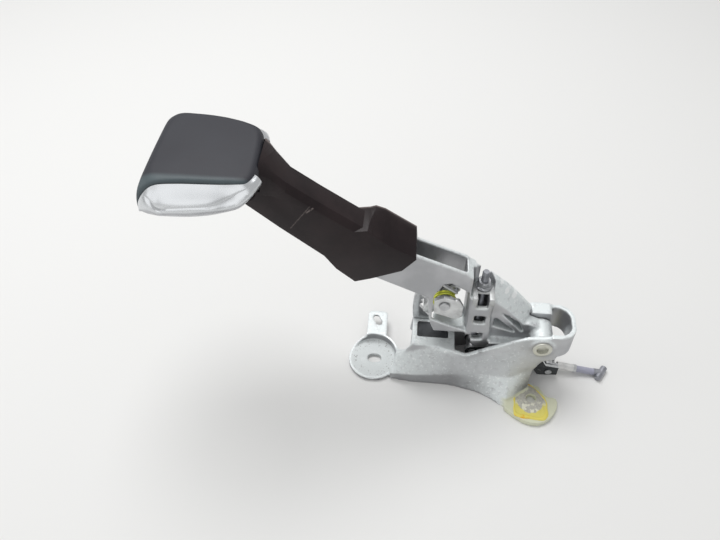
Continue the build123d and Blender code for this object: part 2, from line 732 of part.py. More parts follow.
def cable_tee():
    """Cross bar at the end of the rod, with a short neck around it."""
    turn = Rot(0, 0, -tee_turn)
    bar = rod_y(0, 0, tee_d, -tee_len / 2, tee_len / 2)
    bar = Pos(*tee_centre) * turn * chamfer(bar.edges().filter_by(GeomType.CIRCLE), 0.8)
    neck = rod_between(along_cable(tee_reach - 7), along_cable(tee_reach - 1), tee_d + 0.6)
    return one(bar + neck - rod_between(along_cable(0), along_cable(tee_reach - 1), rod_end_d))


tip_r = tooth_tip_r - pawl_tip_gap


def ratchet_pawl():
    """Cheek, hub and nose; the nose reaches sideways past the arm wall to the sector."""
    plate_to = pawl_plate_y + pawl_plate_t
    cheek_from = -arm_half + arm_wall + pawl_side_gap
    hub = rod_y(pawl_x, pawl_z, 2 * pawl_hub_r - 2, cheek_from, plate_to)
    cheek = side_plate([(-94, 97), (-86, 101.5), (-73, 98.5), (-69.5, 91), (-69.5, 78), (-75, 74.8),
                        (-93, 81)], cheek_from, cheek_from + cheek_t, 1.5)
    tip_top = polar(tip_r, pawl_tip_angle + 1.1)
    tip_low = polar(tip_r, pawl_tip_angle - 1.1)
    tip = polar(tip_r, pawl_tip_angle)
    nose = side_plate([(pawl_x - 5, pawl_z + 6.5), (pawl_x - 8.5, pawl_z), (tip[0] + 2.5, tip[1] + 7), tip_top,
                       tip_low, (tip[0] + 6, tip[1] - 4.5), (pawl_x + 3, pawl_z - 9), (pawl_x + 6, pawl_z)],
                      pawl_plate_y, plate_to)
    finger = side_plate([tip_top, tip_low, (tip_low[0] + 4.6, tip_low[1] - 0.6), (tip_top[0] + 4.6, tip_top[1] + 1.5)],
                        pawl_plate_y, sector_y + sector_t)
    arm = side_plate([(pawl_x - 4, pawl_z + 4), (pawl_x + 5, pawl_z - 3), (pawl_hook_x + 3, pawl_hook_z - 1),
                      (pawl_hook_x - 2, pawl_hook_z + 2)], pawl_plate_y, plate_to)
    arm += rod_y(pawl_hook_x, pawl_hook_z, 7.0, pawl_plate_y, plate_to)
    body = hub + cheek + nose + finger + arm
    body -= rod_y(pawl_x, pawl_z, pawl_pin_d + 2 * running_gap, -30, 30)
    body -= rod_y(pawl_hook_x, pawl_hook_z, rod_d + 2 * hook_gap, -30, 30)
    return one(body)


def pawl_pin():
    """Riveted pin, fixed in the far wall boss, that the pawl turns on."""
    cheek_from = -arm_half + arm_wall + pawl_side_gap
    pin = rod_y(pawl_x, pawl_z, pawl_pin_d, cheek_from - 0.3, arm_half + 0.6)
    head = rod_y(pawl_x, pawl_z, pawl_pin_d + 3, cheek_from - 1.8, cheek_from - 0.3)
    return one(pin + fillet(head.edges().group_by(Axis.Y)[0], 0.8))


def coil(radius, wire, pitch, height):
    """A round-wire coil standing on the XY plane."""
    path = Helix(pitch=pitch, height=height, radius=radius)
    section = Plane(origin=path @ 0, z_dir=path % 0) * Circle(wire / 2)
    return sweep(section, path=path)


def pawl_spring():
    """Yellow-passivated torsion spring around the pawl hub."""
    turns = coil(pawl_spring_r, pawl_spring_wire, pawl_spring_wire + 0.3, 4.4)
    return one(Plane(origin=(pawl_x, -2.8, pawl_z), x_dir=(1, 0, 0), z_dir=(0, 1, 0)) * turns)


def pull_rod():
    """Straight wire rod, hooked into the rocker above and the pawl below."""
    plate_to = pawl_plate_y + pawl_plate_t
    rod = rod_between((pawl_hook_x, 0, pawl_hook_z), (rod_top_x, 0, rod_top_z), rod_d)
    for x, z in ((pawl_hook_x, pawl_hook_z), (rod_top_x, rod_top_z)):
        rod += rod_y(x, z, rod_d, 0, plate_to - 0.4)
        rod += Pos(x, 0, z) * Sphere(rod_d / 2)
    return one(rod)


def release_rocker():
    """Small lever that turns the button's push into a pull on the rod."""
    y0 = pawl_plate_y
    y1 = y0 + rocker_t
    upper = side_plate([(rocker_x - 3, rocker_z - 1), (rocker_x + 2, rocker_z - 3), (rod_top_x + 2.2, rod_top_z - 2),
                        (rod_top_x - 2.2, rod_top_z + 2)], y0, y1)
    body = rod_y(rocker_x, rocker_z, 7, y0, y1) + upper + rod_y(rod_top_x, rod_top_z, 6.4, y0, y1)
    body += side_plate([(rocker_x - 2, rocker_z), (foot_x - leg_half, foot_z), (foot_x + leg_half, foot_z),
                        (rocker_x + 2, rocker_z)], y0, y1)
    body += rod_y(foot_x, foot_z, foot_d, y0, y1)
    body -= rod_y(rocker_x, rocker_z, rocker_pin_d + 2 * running_gap, -20, 20)
    body -= rod_y(rod_top_x, rod_top_z, rod_d + 2 * hook_gap, -20, 20)
    return one(body)


def rocker_pin():
    return one(rod_y(rocker_x, rocker_z, rocker_pin_d, -pocket_half - 4, pocket_half + 4))


stem_z = foot_z
stem_y = pawl_plate_y + rocker_t / 2
button_front = lip_front + 1.5
button_back = button_front + button_len
stem_end = foot_x - foot_d / 2 - seat_gap


def release_button():
    """Push button under the front edge, with a flat stem back to the rocker."""
    head = block(button_front, button_back, -button_w / 2, button_w / 2, stem_z - button_h / 2, stem_z + button_h / 2)
    head = fillet(head.edges().filter_by(Axis.Z).group_by(Axis.X)[0], 4)
    stem = block(button_back - 1, stem_end, stem_y - stem_w / 2, stem_y + stem_w / 2, stem_z - stem_t / 2,
                 stem_z + stem_t / 2)
    return one(head + stem)


sleeve_outline = [
    (-112, 151.5), (-122.3, 138), (-146, 126.8), (-159.4, 121.8), (-174, 135.6), (-183, 149.5), (-215, 177.2),
    (-246, 206), (-246, 247), (-223, 231), (-208, 218), (-186, 201.5), (-169.7, 189.8), (-153.5, 178.5),
    (-149.5, 179.2), (-145, 181), (-138, 178.5), (-113, 161.5),
]


def arm_envelope(gap):
    outline = offset(side_sketch(arm_outline), gap)
    return raise_side(outline, -arm_half - gap, arm_half + gap)


def grip_room(gap):
    """The space of the grip that the sleeve stops against."""
    return block(grip_front - 20, grip_back + gap, -60, 60, grip_low - gap, grip_top + 20)


# Sloping top of the raised rear end: x, height at the near edge, height at the far ridge
raised_end = [
    (-150.0, 179.5, 181.5), (-146.3, 175.5, 181.3), (-138.0, 168.7, 178.5), (-132.6, 164.5, 175.3),
    (-112.3, 153.1, 161.3), (-107.0, 150.1, 158.0),
]
raised_ridge_y = 9.0


def above_raised_end(drop):
    """The space above the sloping top, lowered by a wall thickness."""
    sections = []
    for x, near, far in raised_end:
        slope = (far - near) / (raised_ridge_y + sleeve_half)
        edge = near - slope - drop
        pairs = [(-sleeve_half - 1, edge), (raised_ridge_y, far - drop), (sleeve_half + 1, far - drop),
                 (sleeve_half + 1, 230), (-sleeve_half - 1, 230)]
        sections.append((x, pairs))
    return skin(sections)


def sleeve_flare():
    """The sleeve widens where it meets the grip."""
    half = sleeve_flare_half
    mid = (half + sleeve_half) / 2 - 1
    edge = sleeve_edge
    low = sleeve_half - 0.1
    return skin([
        (-224.7, [(-half, 214), (-half, 233), (-half + 5, 238), (half - 5, 238), (half, 233), (half, 214)]),
        (-218.0, [(-mid, 210), (-mid, 226), (-mid + edge, 230.5), (mid - edge, 230.5), (mid, 226), (mid, 210)]),
        (-208.0, [(-low, 205), (-low, 213.4), (-low + edge, 217.9), (low - edge, 217.9), (low, 213.4), (low, 205)]),
    ])


def lever_sleeve():
    """Moulded black cover over the arm, flared at the grip, with a raised rear end that slopes to the near side."""
    outer = side_plate(sleeve_outline, -sleeve_half, sleeve_half)
    top_line = [e for e in outer.edges() if e.length > 5 and is_upper_side(e)]
    outer = chamfer(top_line, sleeve_edge)
    outer += sleeve_flare()
    inner_sketch = offset(side_sketch(sleeve_outline), -sleeve_top_wall)
    inner = raise_side(inner_sketch, -sleeve_half + sleeve_wall, sleeve_half - sleeve_wall)
    body = (outer - above_raised_end(0)) - (inner - above_raised_end(sleeve_wall + 0.2))
    body -= arm_envelope(sleeve_gap)
    body -= side_plate([(-108, 151), (-126, 142), (-141, 139), (-141, 158), (-116, 151), (-108, 157)], -8, 8)
    body -= grip_room(seat_gap)
    for x, z in sleeve_screw_places:
        body -= rod_y(x, z, screw_d, 0, 30)
    return one(body)


def is_upper_side(edge):
    """True for the long edges of the sleeve's top face, in front of the raised part."""
    middle = edge @ 0.5
    along_side = abs(abs(middle.Y) - sleeve_half) < 0.01 and abs((edge @ 0).Y - (edge @ 1).Y) < 0.01
    above = middle.Z > 0.72 * -middle.X + 62
    return along_side and above and middle.X > -240 and middle.X < -152


def sleeve_screws():
    """Two short screws from the far side that hold the sleeve to the arm."""
    screws = []
    for x, z in sleeve_screw_places:
        shank = rod_y(x, z, screw_d - 0.6, arm_half - arm_wall + 0.2, sleeve_half + 0.2)
        head = rod_y(x, z, screw_head_d, sleeve_half + 0.05, sleeve_half + 1.6)
        screws.append(one(shank + head))
    return Compound(screws)


def grip_plan(inset=0.0):
    """Plan outline of the grip, wider at the front."""
    x0 = grip_front + inset
    x1 = grip_back - inset
    w0 = grip_half_front - inset
    w1 = grip_half_back - inset
    sketch = Polygon((x0, -w0), (x1, -w1), (x1, w1), (x0, w0), align=None)
    return fillet(sketch.vertices(), 9)


plan_inset = 0.5


def mechanism_room():
    """Pocket for the arm end and rocker, and the slideway of the button stem."""
    pocket = block(rocker_x - 9, grip_back + 10, -pocket_half, pocket_half, grip_low - 1, pad_low - 1.0)
    stem_way = block(grip_front - 1, rocker_x, stem_y - stem_w / 2 - 0.3, stem_y + stem_w / 2 + 0.3,
                     stem_z - stem_t / 2 - 0.3, stem_z + stem_t / 2 + 0.3)
    button_way = block(grip_front - 10, button_back + button_travel + 0.8, -button_w / 2 - 0.4, button_w / 2 + 0.4,
                       stem_z - button_h / 2 - 0.4, stem_z + button_h / 2 + 0.4)
    return pocket + stem_way + button_way


def grip_core():
    """Moulded frame inside the grip, screwed to the arm end."""
    core = plan_plate(grip_plan(core_inset), cover_top + 0.1, pad_low - 0.1)
    core -= mechanism_room()
    core -= rod_y(rocker_x, rocker_z, rocker_pin_d, -40, 40)
    for x, y in grip_screw_places:
        core -= rod_z(x, y, screw_d - 0.6, grip_low, pad_low - 2)
    return one(core)


def grip_underside():
    """Lower cover with the opening for the arm and a lip around the button."""
    cover = plan_plate(grip_plan(plan_inset + 3.0), grip_low, cover_top)
    cover = chamfer(cover.edges().group_by(Axis.Z)[0], 1.6)
    cover -= mechanism_room()
    cover -= block(-246.5, grip_back + 5, -sleeve_half - 0.5, sleeve_half + 0.5, grip_low - 1, cover_top + 1)
    for x, y in grip_screw_places:
        cover -= rod_z(x, y, screw_d, grip_low - 1, cover_top + 1)
        cover -= rod_z(x, y, screw_head_d + 0.4, grip_low - 1, grip_low + 1.8)
    return one(cover)


def grip_screws():
    """Four screws that hold the lower cover to the core."""
    screws = []
    for x, y in grip_screw_places:
        shank = rod_z(x, y, screw_d - 0.6, grip_low + 0.2, pad_low - 3)
        head = rod_z(x, y, screw_head_d, grip_low + 0.2, grip_low + 1.8)
        screws.append(one(shank + head))
    return Compound(screws)


def grip_pad():
    """Soft crowned top with a lip that wraps down over the front edge."""
    top = plan_plate(grip_plan(plan_inset), pad_low, grip_top)
    top = fillet(top.edges().group_by(Axis.Z)[-1], pad_edge)
    lip_sketch = Polygon((lip_front, -33), (grip_front + 3.6, -38), (grip_front + 3.6, 38), (lip_front, 33), align=None)
    lip = plan_plate(fillet(lip_sketch.vertices().group_by(Axis.X)[0], 9), lip_low, pad_low + 4)
    lip = fillet(lip.edges().group_by(Axis.Z)[-1].group_by(Axis.X)[0], 2.5)
    body = top + lip
    body -= plan_plate(grip_plan(core_inset - 0.2), grip_low, pad_low)
    return one(body)


def grip_trim(side):
    """Bright side rail: bevelled above, tucked under below, with a tail at the arm end."""
    outline = [
        (-297, side * 36.5), (-291, side * 42.5), (-276, side * trim_reach), (-258, side * (trim_reach - 1)),
        (-240, side * 41), (-228, side * 37), (-221.5, side * 30.5), (-219.8, side * 26), (-224.6, side * 24.5),
        (-226.5, side * 26), (-233, side * 30), (-292, side * 33), (-296, side * 33.5),
    ]
    rail = plan_plate(Polygon(*outline, align=None), trim_low, trim_top)
    keep = plan_plate(grip_plan(core_inset - trim_gap), grip_low - 1, grip_top + 1)
    pad_space = plan_plate(grip_plan(plan_inset - trim_gap), pad_low - trim_gap, grip_top + 5)
    cover_space = plan_plate(grip_plan(plan_inset + 3.0 - trim_gap), grip_low - 1, cover_top + 0.1)
    low_centre = (Align.CENTER, Align.CENTER, Align.MIN)
    bevel = Pos(grip_front, side * 37.5, trim_top + 0.6) * Rot(side * -trim_bevel, 0, 0)
    bevel = bevel * Box(130, 60, 20, align=low_centre)
    lip_space = block(lip_front - 2, grip_front + 4, -40, 40, lip_low - trim_gap, grip_top)
    rail = rail - keep - pad_space - cover_space - bevel - lip_space
    rail -= block(-231, -200, -20.5, 20.5, 200, 260)
    rail -= side_plate([(-252, 205), (-210, 205), (-210, 229), (-224, 227), (-229, 222), (-235, 216.5), (-244.5, 213.4),
                        (-252, 212.3)], -60, 60)
    return one(rail)


def bump_stop():
    """Rubber stop on the flat that the lever rests on."""
    stop = rod_z(stop_x, stop_y, stop_d, flat_z, stop_web_z)
    return one(fillet(stop.edges().group_by(Axis.Z)[-1], 1.2))


switch_top = flat_z - switch_recess
switch_low = switch_top - switch_h
plunger_bore_d = plunger_d + 2 * plunger_bore_gap
plunger_foot_z = switch_low + 6.0


def switch_housing():
    """Black contact housing that fills the window in the flat."""
    body = block(switch_x0, switch_x1, switch_y0, switch_y1, switch_low, switch_top)
    body = fillet(body.edges().filter_by(Axis.Z), 2.0)
    body -= rod_z(plunger_x, plunger_y, plunger_bore_d, switch_low + 8, switch_top + 2)
    body -= rod_z(plunger_x, plunger_y, plunger_d + 2.6, switch_low + 1.5, switch_low + 12)
    for y in (-1.0, 7.0):
        body -= block(-99, -99 + blade_w, y, y + blade_t, switch_low - 1, switch_low + 3)
    return one(body)


def switch_blades():
    """Two contact blades for the wiring plug."""
    blades = [block(-99, -99 + blade_w, y, y + blade_t, switch_low + 3 - blade_len, switch_low + 3) for y in (-1.0, 7.0)]
    return Compound([one(blade) for blade in blades])


def switch_plunger():
    """Plunger held down by the lever, with a collar that keeps it in the housing."""
    stem = rod_z(plunger_x, plunger_y, plunger_d, plunger_foot_z - 2, stop_web_z - plunger_stroke_gap)
    stem = fillet(stem.edges().group_by(Axis.Z)[-1], 1.5)
    collar = rod_z(plunger_x, plunger_y, plunger_d + 2.0, plunger_foot_z - 2, plunger_foot_z - 0.6)
    return one(stem + collar)


def switch_spring():
    turns = coil(2.6, switch_spring_wire, 0.9, 1.9)
    return one(Pos(plunger_x, plunger_y, switch_low + 1.8) * turns)


nodes = {
    "base_bracket": base_bracket,
    "ratchet_sector": ratchet_sector,
    "sector_rivets": sector_rivets,
    "pivot_pin": pivot_pin,
    "hub_bushes": hub_bushes,
    "bump_stop": bump_stop,
    "switch_housing": switch_housing,
    "switch_blades": switch_blades,
    "switch_plunger": switch_plunger,
    "switch_spring": switch_spring,
    "lever_arm": lever_arm,
    "adjuster_saddle": saddle,
    "adjuster_nut": adjuster_nut,
    "adjuster_stud": adjuster_stud,
    "cable_crank": cable_crank,
    "crank_pin": crank_pin,
    "crank_trunnion": trunnion,
    "clevis_pin": clevis_pin,
    "cable_rod": cable_rod,
    "cable_ferrule": lambda: tube_on_cable(ferrule_from, ferrule_to, ferrule_d),
    "cable_collar": lambda: tube_on_cable(ferrule_to, collar_to, collar_d),
    "cable_sheath": lambda: tube_on_cable(collar_to, tee_reach - 7, sheath_d),
    "cable_tee": cable_tee,
    "ratchet_pawl": ratchet_pawl,
    "pawl_pin": pawl_pin,
    "pawl_spring": pawl_spring,
    "pull_rod": pull_rod,
    "release_rocker": release_rocker,
    "rocker_pin": rocker_pin,
    "release_button": release_button,
    "lever_sleeve": lever_sleeve,
    "sleeve_screws": sleeve_screws,
    "grip_core": grip_core,
    "grip_underside": grip_underside,
    "grip_screws": grip_screws,
    "grip_pad": grip_pad,
    "grip_trim_near": lambda: grip_trim(-1),
    "grip_trim_far": lambda: grip_trim(1),
}

os.makedirs("parts", exist_ok=True)
for name, make in nodes.items():
    export_step(make(), f"parts/{name}.step")
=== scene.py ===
from math import atan2, pi, radians

import bmesh
import bpy
import numpy as np
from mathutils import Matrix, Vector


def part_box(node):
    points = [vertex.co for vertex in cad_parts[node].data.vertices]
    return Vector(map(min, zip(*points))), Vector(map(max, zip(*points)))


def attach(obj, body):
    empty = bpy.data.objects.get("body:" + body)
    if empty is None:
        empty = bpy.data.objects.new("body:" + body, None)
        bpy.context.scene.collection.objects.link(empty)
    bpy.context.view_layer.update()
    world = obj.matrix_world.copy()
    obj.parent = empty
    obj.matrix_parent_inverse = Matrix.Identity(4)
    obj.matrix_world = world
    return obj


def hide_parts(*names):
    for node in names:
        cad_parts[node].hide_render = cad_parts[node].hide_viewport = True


# A parking brake lever on its cast bracket, taken in the order in which it is put together.
# Lamps, camera and meshes are placed in metres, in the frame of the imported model, and the pieces' own
# sizes are written in millimetres.
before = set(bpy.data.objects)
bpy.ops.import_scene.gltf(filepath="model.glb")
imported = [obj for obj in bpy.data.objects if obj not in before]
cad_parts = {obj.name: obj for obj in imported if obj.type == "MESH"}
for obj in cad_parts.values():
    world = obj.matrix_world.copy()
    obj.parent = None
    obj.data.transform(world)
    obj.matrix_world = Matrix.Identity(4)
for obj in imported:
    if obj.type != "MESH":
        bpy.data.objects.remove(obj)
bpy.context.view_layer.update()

# The bench, the light and the camera
# The lever lies on a plain pale bench under one wide soft lamp, with two weak fill lamps.
# The camera looks down by 48 degrees from the near side, turned 5 degrees to the left.
bench_colour = (0.80, 0.80, 0.79)
bench_size = 6.0
room_brightness = 0.52
view_down, view_left = 48, 5


def lamp(name, place, aim, size, watts):
    """A soft round lamp that shines from its place to its aim."""
    data = bpy.data.lights.new(name, "AREA")
    data.shape, data.size, data.energy = "DISK", size, watts
    made = bpy.data.objects.new(name, data)
    made.location = place
    turn = np.subtract(place, aim)
    made.rotation_euler = (atan2(float(np.hypot(turn[0], turn[1])), turn[2]), 0, atan2(turn[0], -turn[1]))
    bpy.context.scene.collection.objects.link(made)


lamp("overhead_lamp", (-0.4, 0.5, 1.5), (-0.1, 0, 0.1), 1.0, 15)
lamp("near_fill", (-0.75, -1.5, 0.65), (-0.15, 0, 0.1), 1.2, 2.2)
lamp("left_fill", (-1.6, -0.1, 0.7), (-0.1, 0, 0.15), 0.9, 3)

world = bpy.data.worlds.new("room")
world.use_nodes = True
world.node_tree.nodes["Background"].inputs["Color"].default_value = (1, 1, 1, 1)
world.node_tree.nodes["Background"].inputs["Strength"].default_value = room_brightness
bpy.context.scene.world = world
bpy.context.scene.view_settings.view_transform = "Standard"

camera_data = bpy.data.cameras.new("camera")
camera_data.lens, camera_data.sensor_width = 34.0, 36.0
camera_data.clip_start, camera_data.clip_end = 0.01, 20.0
camera = bpy.data.objects.new("camera", camera_data)
camera.location = (-0.1241, -0.3694, 0.5327)
camera.rotation_euler = (radians(90 - view_down), 0, radians(view_left))
bpy.context.scene.collection.objects.link(camera)
bpy.context.scene.camera = camera

# mm turns millimetres into metres, and X, Y and Z are the places of the three axes in a vector.
mm = 0.001
X, Y, Z = 0, 1, 2


class Value:
    """One socket of a finish. + - * on it, with a number or a socket on either side, add Math nodes."""

    def __init__(self, finish, socket):
        self.finish, self.socket = finish, socket

    def combined(self, operation, first, second):
        """The Math node's result."""
        return self.finish.node("ShaderNodeMath", {"operation": operation}, [first, second])

    def __add__(self, other):
        return self.combined("ADD", self, other)

    def __sub__(self, other):
        return self.combined("SUBTRACT", self, other)

    def __rsub__(self, other):
        return self.combined("SUBTRACT", other, self)

    def __mul__(self, other):
        return self.combined("MULTIPLY", self, other)

    __radd__, __rmul__ = __add__, __mul__

    def between(self, low, high):
        """0 at low, 1 at high, eased between them; low may be the larger number."""
        settings = {"interpolation_type": "SMOOTHSTEP"}
        inputs = {"Value": self, "From Min": low, "From Max": high}
        return self.finish.node("ShaderNodeMapRange", settings, inputs)


class Finish:
    """A material. node() adds any node, and the shader's own sockets are set by surface()."""

    def __init__(self, name):
        self.material = bpy.data.materials.new(name)
        self.material.use_nodes = True
        self.tree = self.material.node_tree
        self.shader = self.tree.nodes["Principled BSDF"]
        self.place = self.node("ShaderNodeTexCoord", out="Object")

    def fill(self, socket, value):
        """Links a Value to a socket, or sets the socket to a colour or a number."""
        if isinstance(value, Value):
            self.tree.links.new(value.socket, socket)
        elif socket.type == "RGBA":
            socket.default_value = (*value[:3], 1.0)
        else:
            socket.default_value = value

    def node(self, kind, settings=None, inputs=None, out=0):
        """Adds a node with its settings, fills its inputs and gives one of its outputs."""
        made = self.tree.nodes.new(kind)
        for key, value in (settings or {}).items():
            setattr(made, key, value)
        pairs = inputs.items() if isinstance(inputs, dict) else enumerate(inputs or [])
        for key, value in pairs:
            self.fill(made.inputs[key], value)
        return Value(self, made.outputs[out])

    def noise(self, size_mm, detail=2.0, roughness=0.5, stretch=(1, 1, 1)):
        """Cloudy noise from 0 to 1 whose patches are about size_mm wide, and narrower by the stretch."""
        mapped = self.node("ShaderNodeMapping", None, {"Vector": self.place, "Scale": stretch})
        inputs = {"Vector": mapped, "Scale": 1000.0 / size_mm, "Detail": detail, "Roughness": roughness}
        return self.node("ShaderNodeTexNoise", None, inputs)

    def mix(self, share, first, second):
        """The first colour where share is 0 and the second where it is 1."""
        return self.node("ShaderNodeMix", {"data_type": "RGBA"}, {0: share, 6: first, 7: second}, out=2)

    def relief(self, height, depth_mm):
        """A normal that follows a height given in steps of depth_mm."""
        inputs = {"Height": height, "Distance": depth_mm * mm, "Strength": 1.0}
        return self.node("ShaderNodeBump", None, inputs)

    def worn(self):
        """1 on outer corners, 0 elsewhere."""
        return self.node("ShaderNodeNewGeometry", out="Pointiness").between(0.52, 0.60)

    def axis(self, index):
        """The place along an axis, in metres."""
        return self.node("ShaderNodeSeparateXYZ", None, [self.place], out=index)

    def past(self, index, low, high):
        """0 at low and 1 at high along an axis, both in millimetres; low may be the larger."""
        return self.axis(index).between(low * mm, high * mm)

    def facing(self, index):
        """How far the surface faces along an axis, from -1 to 1."""
        normal = self.node("ShaderNodeTexCoord", out="Normal")
        return self.node("ShaderNodeSeparateXYZ", None, [normal], out=index)

    def spot(self, x, z, outer, inner, ragged=0.0):
        """1 within the inner radius of a spot seen from the side and 0 past the outer one, in millimetres;
        ragged, an area, makes its rim uneven."""
        from_x, from_z = self.axis(X) - x * mm, self.axis(Z) - z * mm
        return (from_x * from_x + from_z * from_z + ragged).between((outer * mm) ** 2, (inner * mm) ** 2)

    def surface(self, sockets):
        """Sets the shader's sockets and gives the material."""
        for name, value in sockets.items():
            self.fill(self.shader.inputs[name], value)
        return self.material


bench = Finish("bench")
bench.surface({"Base Color": bench_colour, "Roughness": 0.9, "Specular IOR Level": 0.1})
bpy.ops.mesh.primitive_plane_add(size=bench_size, location=(0, 0, 0))
floor = bpy.context.object
floor.name = "bench"
floor.data.materials.append(bench.material)


# Cast bracket
# One hollow aluminium casting, left as cast: grained by the sand, with eased corners and bright rims.
# Its upward faces, its window sills and spots on the arm's spine are painted lighter as painted light, and
# low near walls are painted darker as painted shade.
# It is bolted down by its feet, and the near rear foot carries a cream coat with a ring of yellow
# sealant round its bolt hole.
def loose_solid(node):
    """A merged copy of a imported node's solid."""
    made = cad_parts[node].data.copy()
    grid = bmesh.new()
    grid.from_mesh(made)
    bmesh.ops.remove_doubles(grid, verts=grid.verts, dist=1e-6)
    grid.to_mesh(made)
    grid.free()
    made.materials.clear()
    return made


def show(name, mesh, body, finish, replaced=(), sharp=40):
    """Puts a mesh on its body, with its finish; corners above the sharp angle, in degrees, stay crisp."""
    mesh.shade_smooth()
    mesh.set_sharp_from_angle(angle=radians(sharp))
    mesh.materials.append(finish)
    made = bpy.data.objects.new(name, mesh)
    bpy.context.scene.collection.objects.link(made)
    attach(made, body)
    if replaced:
        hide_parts(*replaced)


def shaped(mesh, modifiers):
    """The mesh after a list of modifiers, each given as its type and its settings."""
    holder = bpy.data.objects.new("holder", mesh)
    bpy.context.scene.collection.objects.link(holder)
    for kind, settings in modifiers:
        made = holder.modifiers.new(kind, kind)
        for key, value in settings.items():
            setattr(made, key, value)
    result = bpy.data.meshes.new_from_object(holder.evaluated_get(bpy.context.evaluated_depsgraph_get()))
    bpy.data.objects.remove(holder)
    return result


# How often a casting's corners are eased, and the most triangles it keeps.
easing_rounds, most_triangles = 4, 190000


def casting(node, grid_mm):
    """The node's solid as it comes out of a mould: rebuilt on an even grid, and each point moved half way
    to the mean of its neighbours in a few rounds, which eases the corners. Then it is thinned."""
    steps = [("REMESH", {"mode": "VOXEL", "voxel_size": grid_mm * mm}),
             ("SMOOTH", {"factor": 0.5, "iterations": easing_rounds}),
             ("TRIANGULATE", {})]
    fine = shaped(loose_solid(node), steps)
    share = min(1.0, most_triangles / len(fine.polygons))
    return shaped(fine, [("DECIMATE", {"ratio": share})])


# The top of the rear feet; x and y of the middle of the front foot's cup, and its radius; the two ends
# in x of the arm's windows, and the height above which their sills are painted bright, a painted highlight.
foot_top, cup_middle, cup_radius = 5.0, (-143.5, -4.0), 20
window_ends, sill_light_above = (-65, -45), 58
# Round spots on the castings, seen from the side: x, z, and a radius for the painted glints on the spine.
ejector_marks = ((-103.7, 115.5), (-77.6, 132.6), (-68.5, 80.8), (-52.9, 72.9), (-50.6, 50.4))
spine_glint_spots = ((-62, 132.5, 3.0), (-52.6, 128.4, 3.2), (-45.9, 120.6, 2.6), (-38.9, 115.2, 3.4),
                  (-34.8, 106.8, 2.6), (-28.1, 101.2, 3.0))
cast = Finish("cast_aluminium")
sand = cast.noise(0.9, 3, 0.6)
clouds = cast.noise(22, 2)
# Painted highlight: small bright glints, on upward faces only.
painted_glint_flecks = cast.noise(2.2, 1, 0.4).between(0.62, 0.70)
rims = cast.worn()
up = cast.facing(Z)
# Painted shade: near-facing walls low down are painted darker.
painted_low_wall_shade = cast.facing(Y).between(-0.35, -0.8) * up.between(0.45, 0.15) * cast.past(Z, 24, 12)
# Painted light: upward faces are painted lighter, less metallic and rougher, as if lit from above.
painted_top_light = up.between(-0.02, 0.45) * cast.noise(5, 4, 0.65).between(0.12, 0.54)
ragged = (cast.noise(2.6, 3, 0.6) - 0.5) * 14 * mm * mm
# Painted highlight: bright spots on the sides of the arm's spine.
painted_glints = sum(cast.spot(x, z, r, 0.6 * r, ragged) for x, z, r in spine_glint_spots)
painted_glints = painted_glints * up.between(-0.1, 0.1) * cast.past(Y, -15, -13) * cast.past(Y, 9, 6)
# Painted highlight: the upward-facing window sills are painted bright.
painted_sill_light = up.between(0.5, 0.8) * cast.past(X, window_ends[0], window_ends[0] + 1)
painted_sill_light = painted_sill_light * cast.past(X, window_ends[1], window_ends[1] - 1)
painted_sill_light = painted_sill_light * cast.past(Z, sill_light_above, sill_light_above + 2) * cast.past(Y, -3, -5)
near_foot = cast.past(Y, -20, -25) * cast.past(Z, 9, 6)
cream = near_foot * (cast.axis(X) + (cast.noise(8) - 0.5) * 6 * mm).between(-28 * mm, -22 * mm)
cup_x, cup_y = (cast.axis(k) - cup_middle[k] * mm for k in (X, Y))
from_cup = cast.node("ShaderNodeMath", {"operation": "SQRT"}, [cup_x * cup_x + cup_y * cup_y])
cup_floor = from_cup.between((cup_radius + 2) * mm, cup_radius * mm) * cast.past(Z, 6.5, 4.8)
specks = cast.noise(1.8, 2, 0.6).between(0.60, 0.68) * from_cup.between(11 * mm, 18 * mm)
marks = sum(cast.spot(x, z, 2.4, 1.1) for x, z in ejector_marks) * cast.past(Y, -15, -16)
metal = cast.mix(clouds.between(0.3, 0.7), (0.43, 0.435, 0.45), (0.53, 0.535, 0.55))
metal = cast.mix(painted_low_wall_shade * 0.7, metal, (0.27, 0.27, 0.28))
metal = cast.mix(painted_top_light * 0.85, metal, (0.83, 0.88, 0.88))
metal = cast.mix(painted_glint_flecks * 0.7 * painted_top_light + painted_glints * 0.9, metal, (0.93, 0.95, 0.95))
metal = cast.mix(painted_sill_light * 0.9, metal, (0.90, 0.93, 0.92))
metal = cast.mix(rims * 0.9, metal, (0.90, 0.91, 0.92))
metal = cast.mix(marks * 0.35, metal, (0.24, 0.24, 0.25))
metal = cast.mix(cup_floor * 0.7, metal, (0.56, 0.59, 0.59))
metal = cast.mix(cup_floor * specks, metal, (0.20, 0.19, 0.18))
metal = cast.mix(cream, metal, cast.mix(cast.noise(7, 3), (0.60, 0.63, 0.47), (0.70, 0.70, 0.53)))
cast.surface({
    "Base Color": metal,
    "Metallic": 0.92 - cream * 0.9 - painted_top_light * 0.46 - cup_floor * 0.3,
    "Roughness": 0.38 + sand * 0.14 + painted_top_light * 0.16 - rims * 0.10 - cream * 0.08,
    "Normal": cast.relief(sand * (0.6 + painted_top_light) + clouds * 0.4 + marks * 3, 0.14),
})
show("bracket_casting", casting("base_bracket", 1.0), "base", cast.material,
     ["base_bracket"])


# Bare patch and sealant ring
# Round the near foot's bolt hole the cream coat is missing and the casting is rough and bare. A bead of
# yellow sealant was laid round the patch by hand, and some of it pooled over the patch's lower edge.
def six_volumes(points, quads):
    """Six times the volume under the quads; it is above 0 where they face outward."""
    first, second, third, fourth = (points[quads[:, k]] for k in range(4))
    halves = np.cross(second - first, third - first) + np.cross(third - first, fourth - first)
    return np.einsum("ij,ij->i", first, halves).sum()


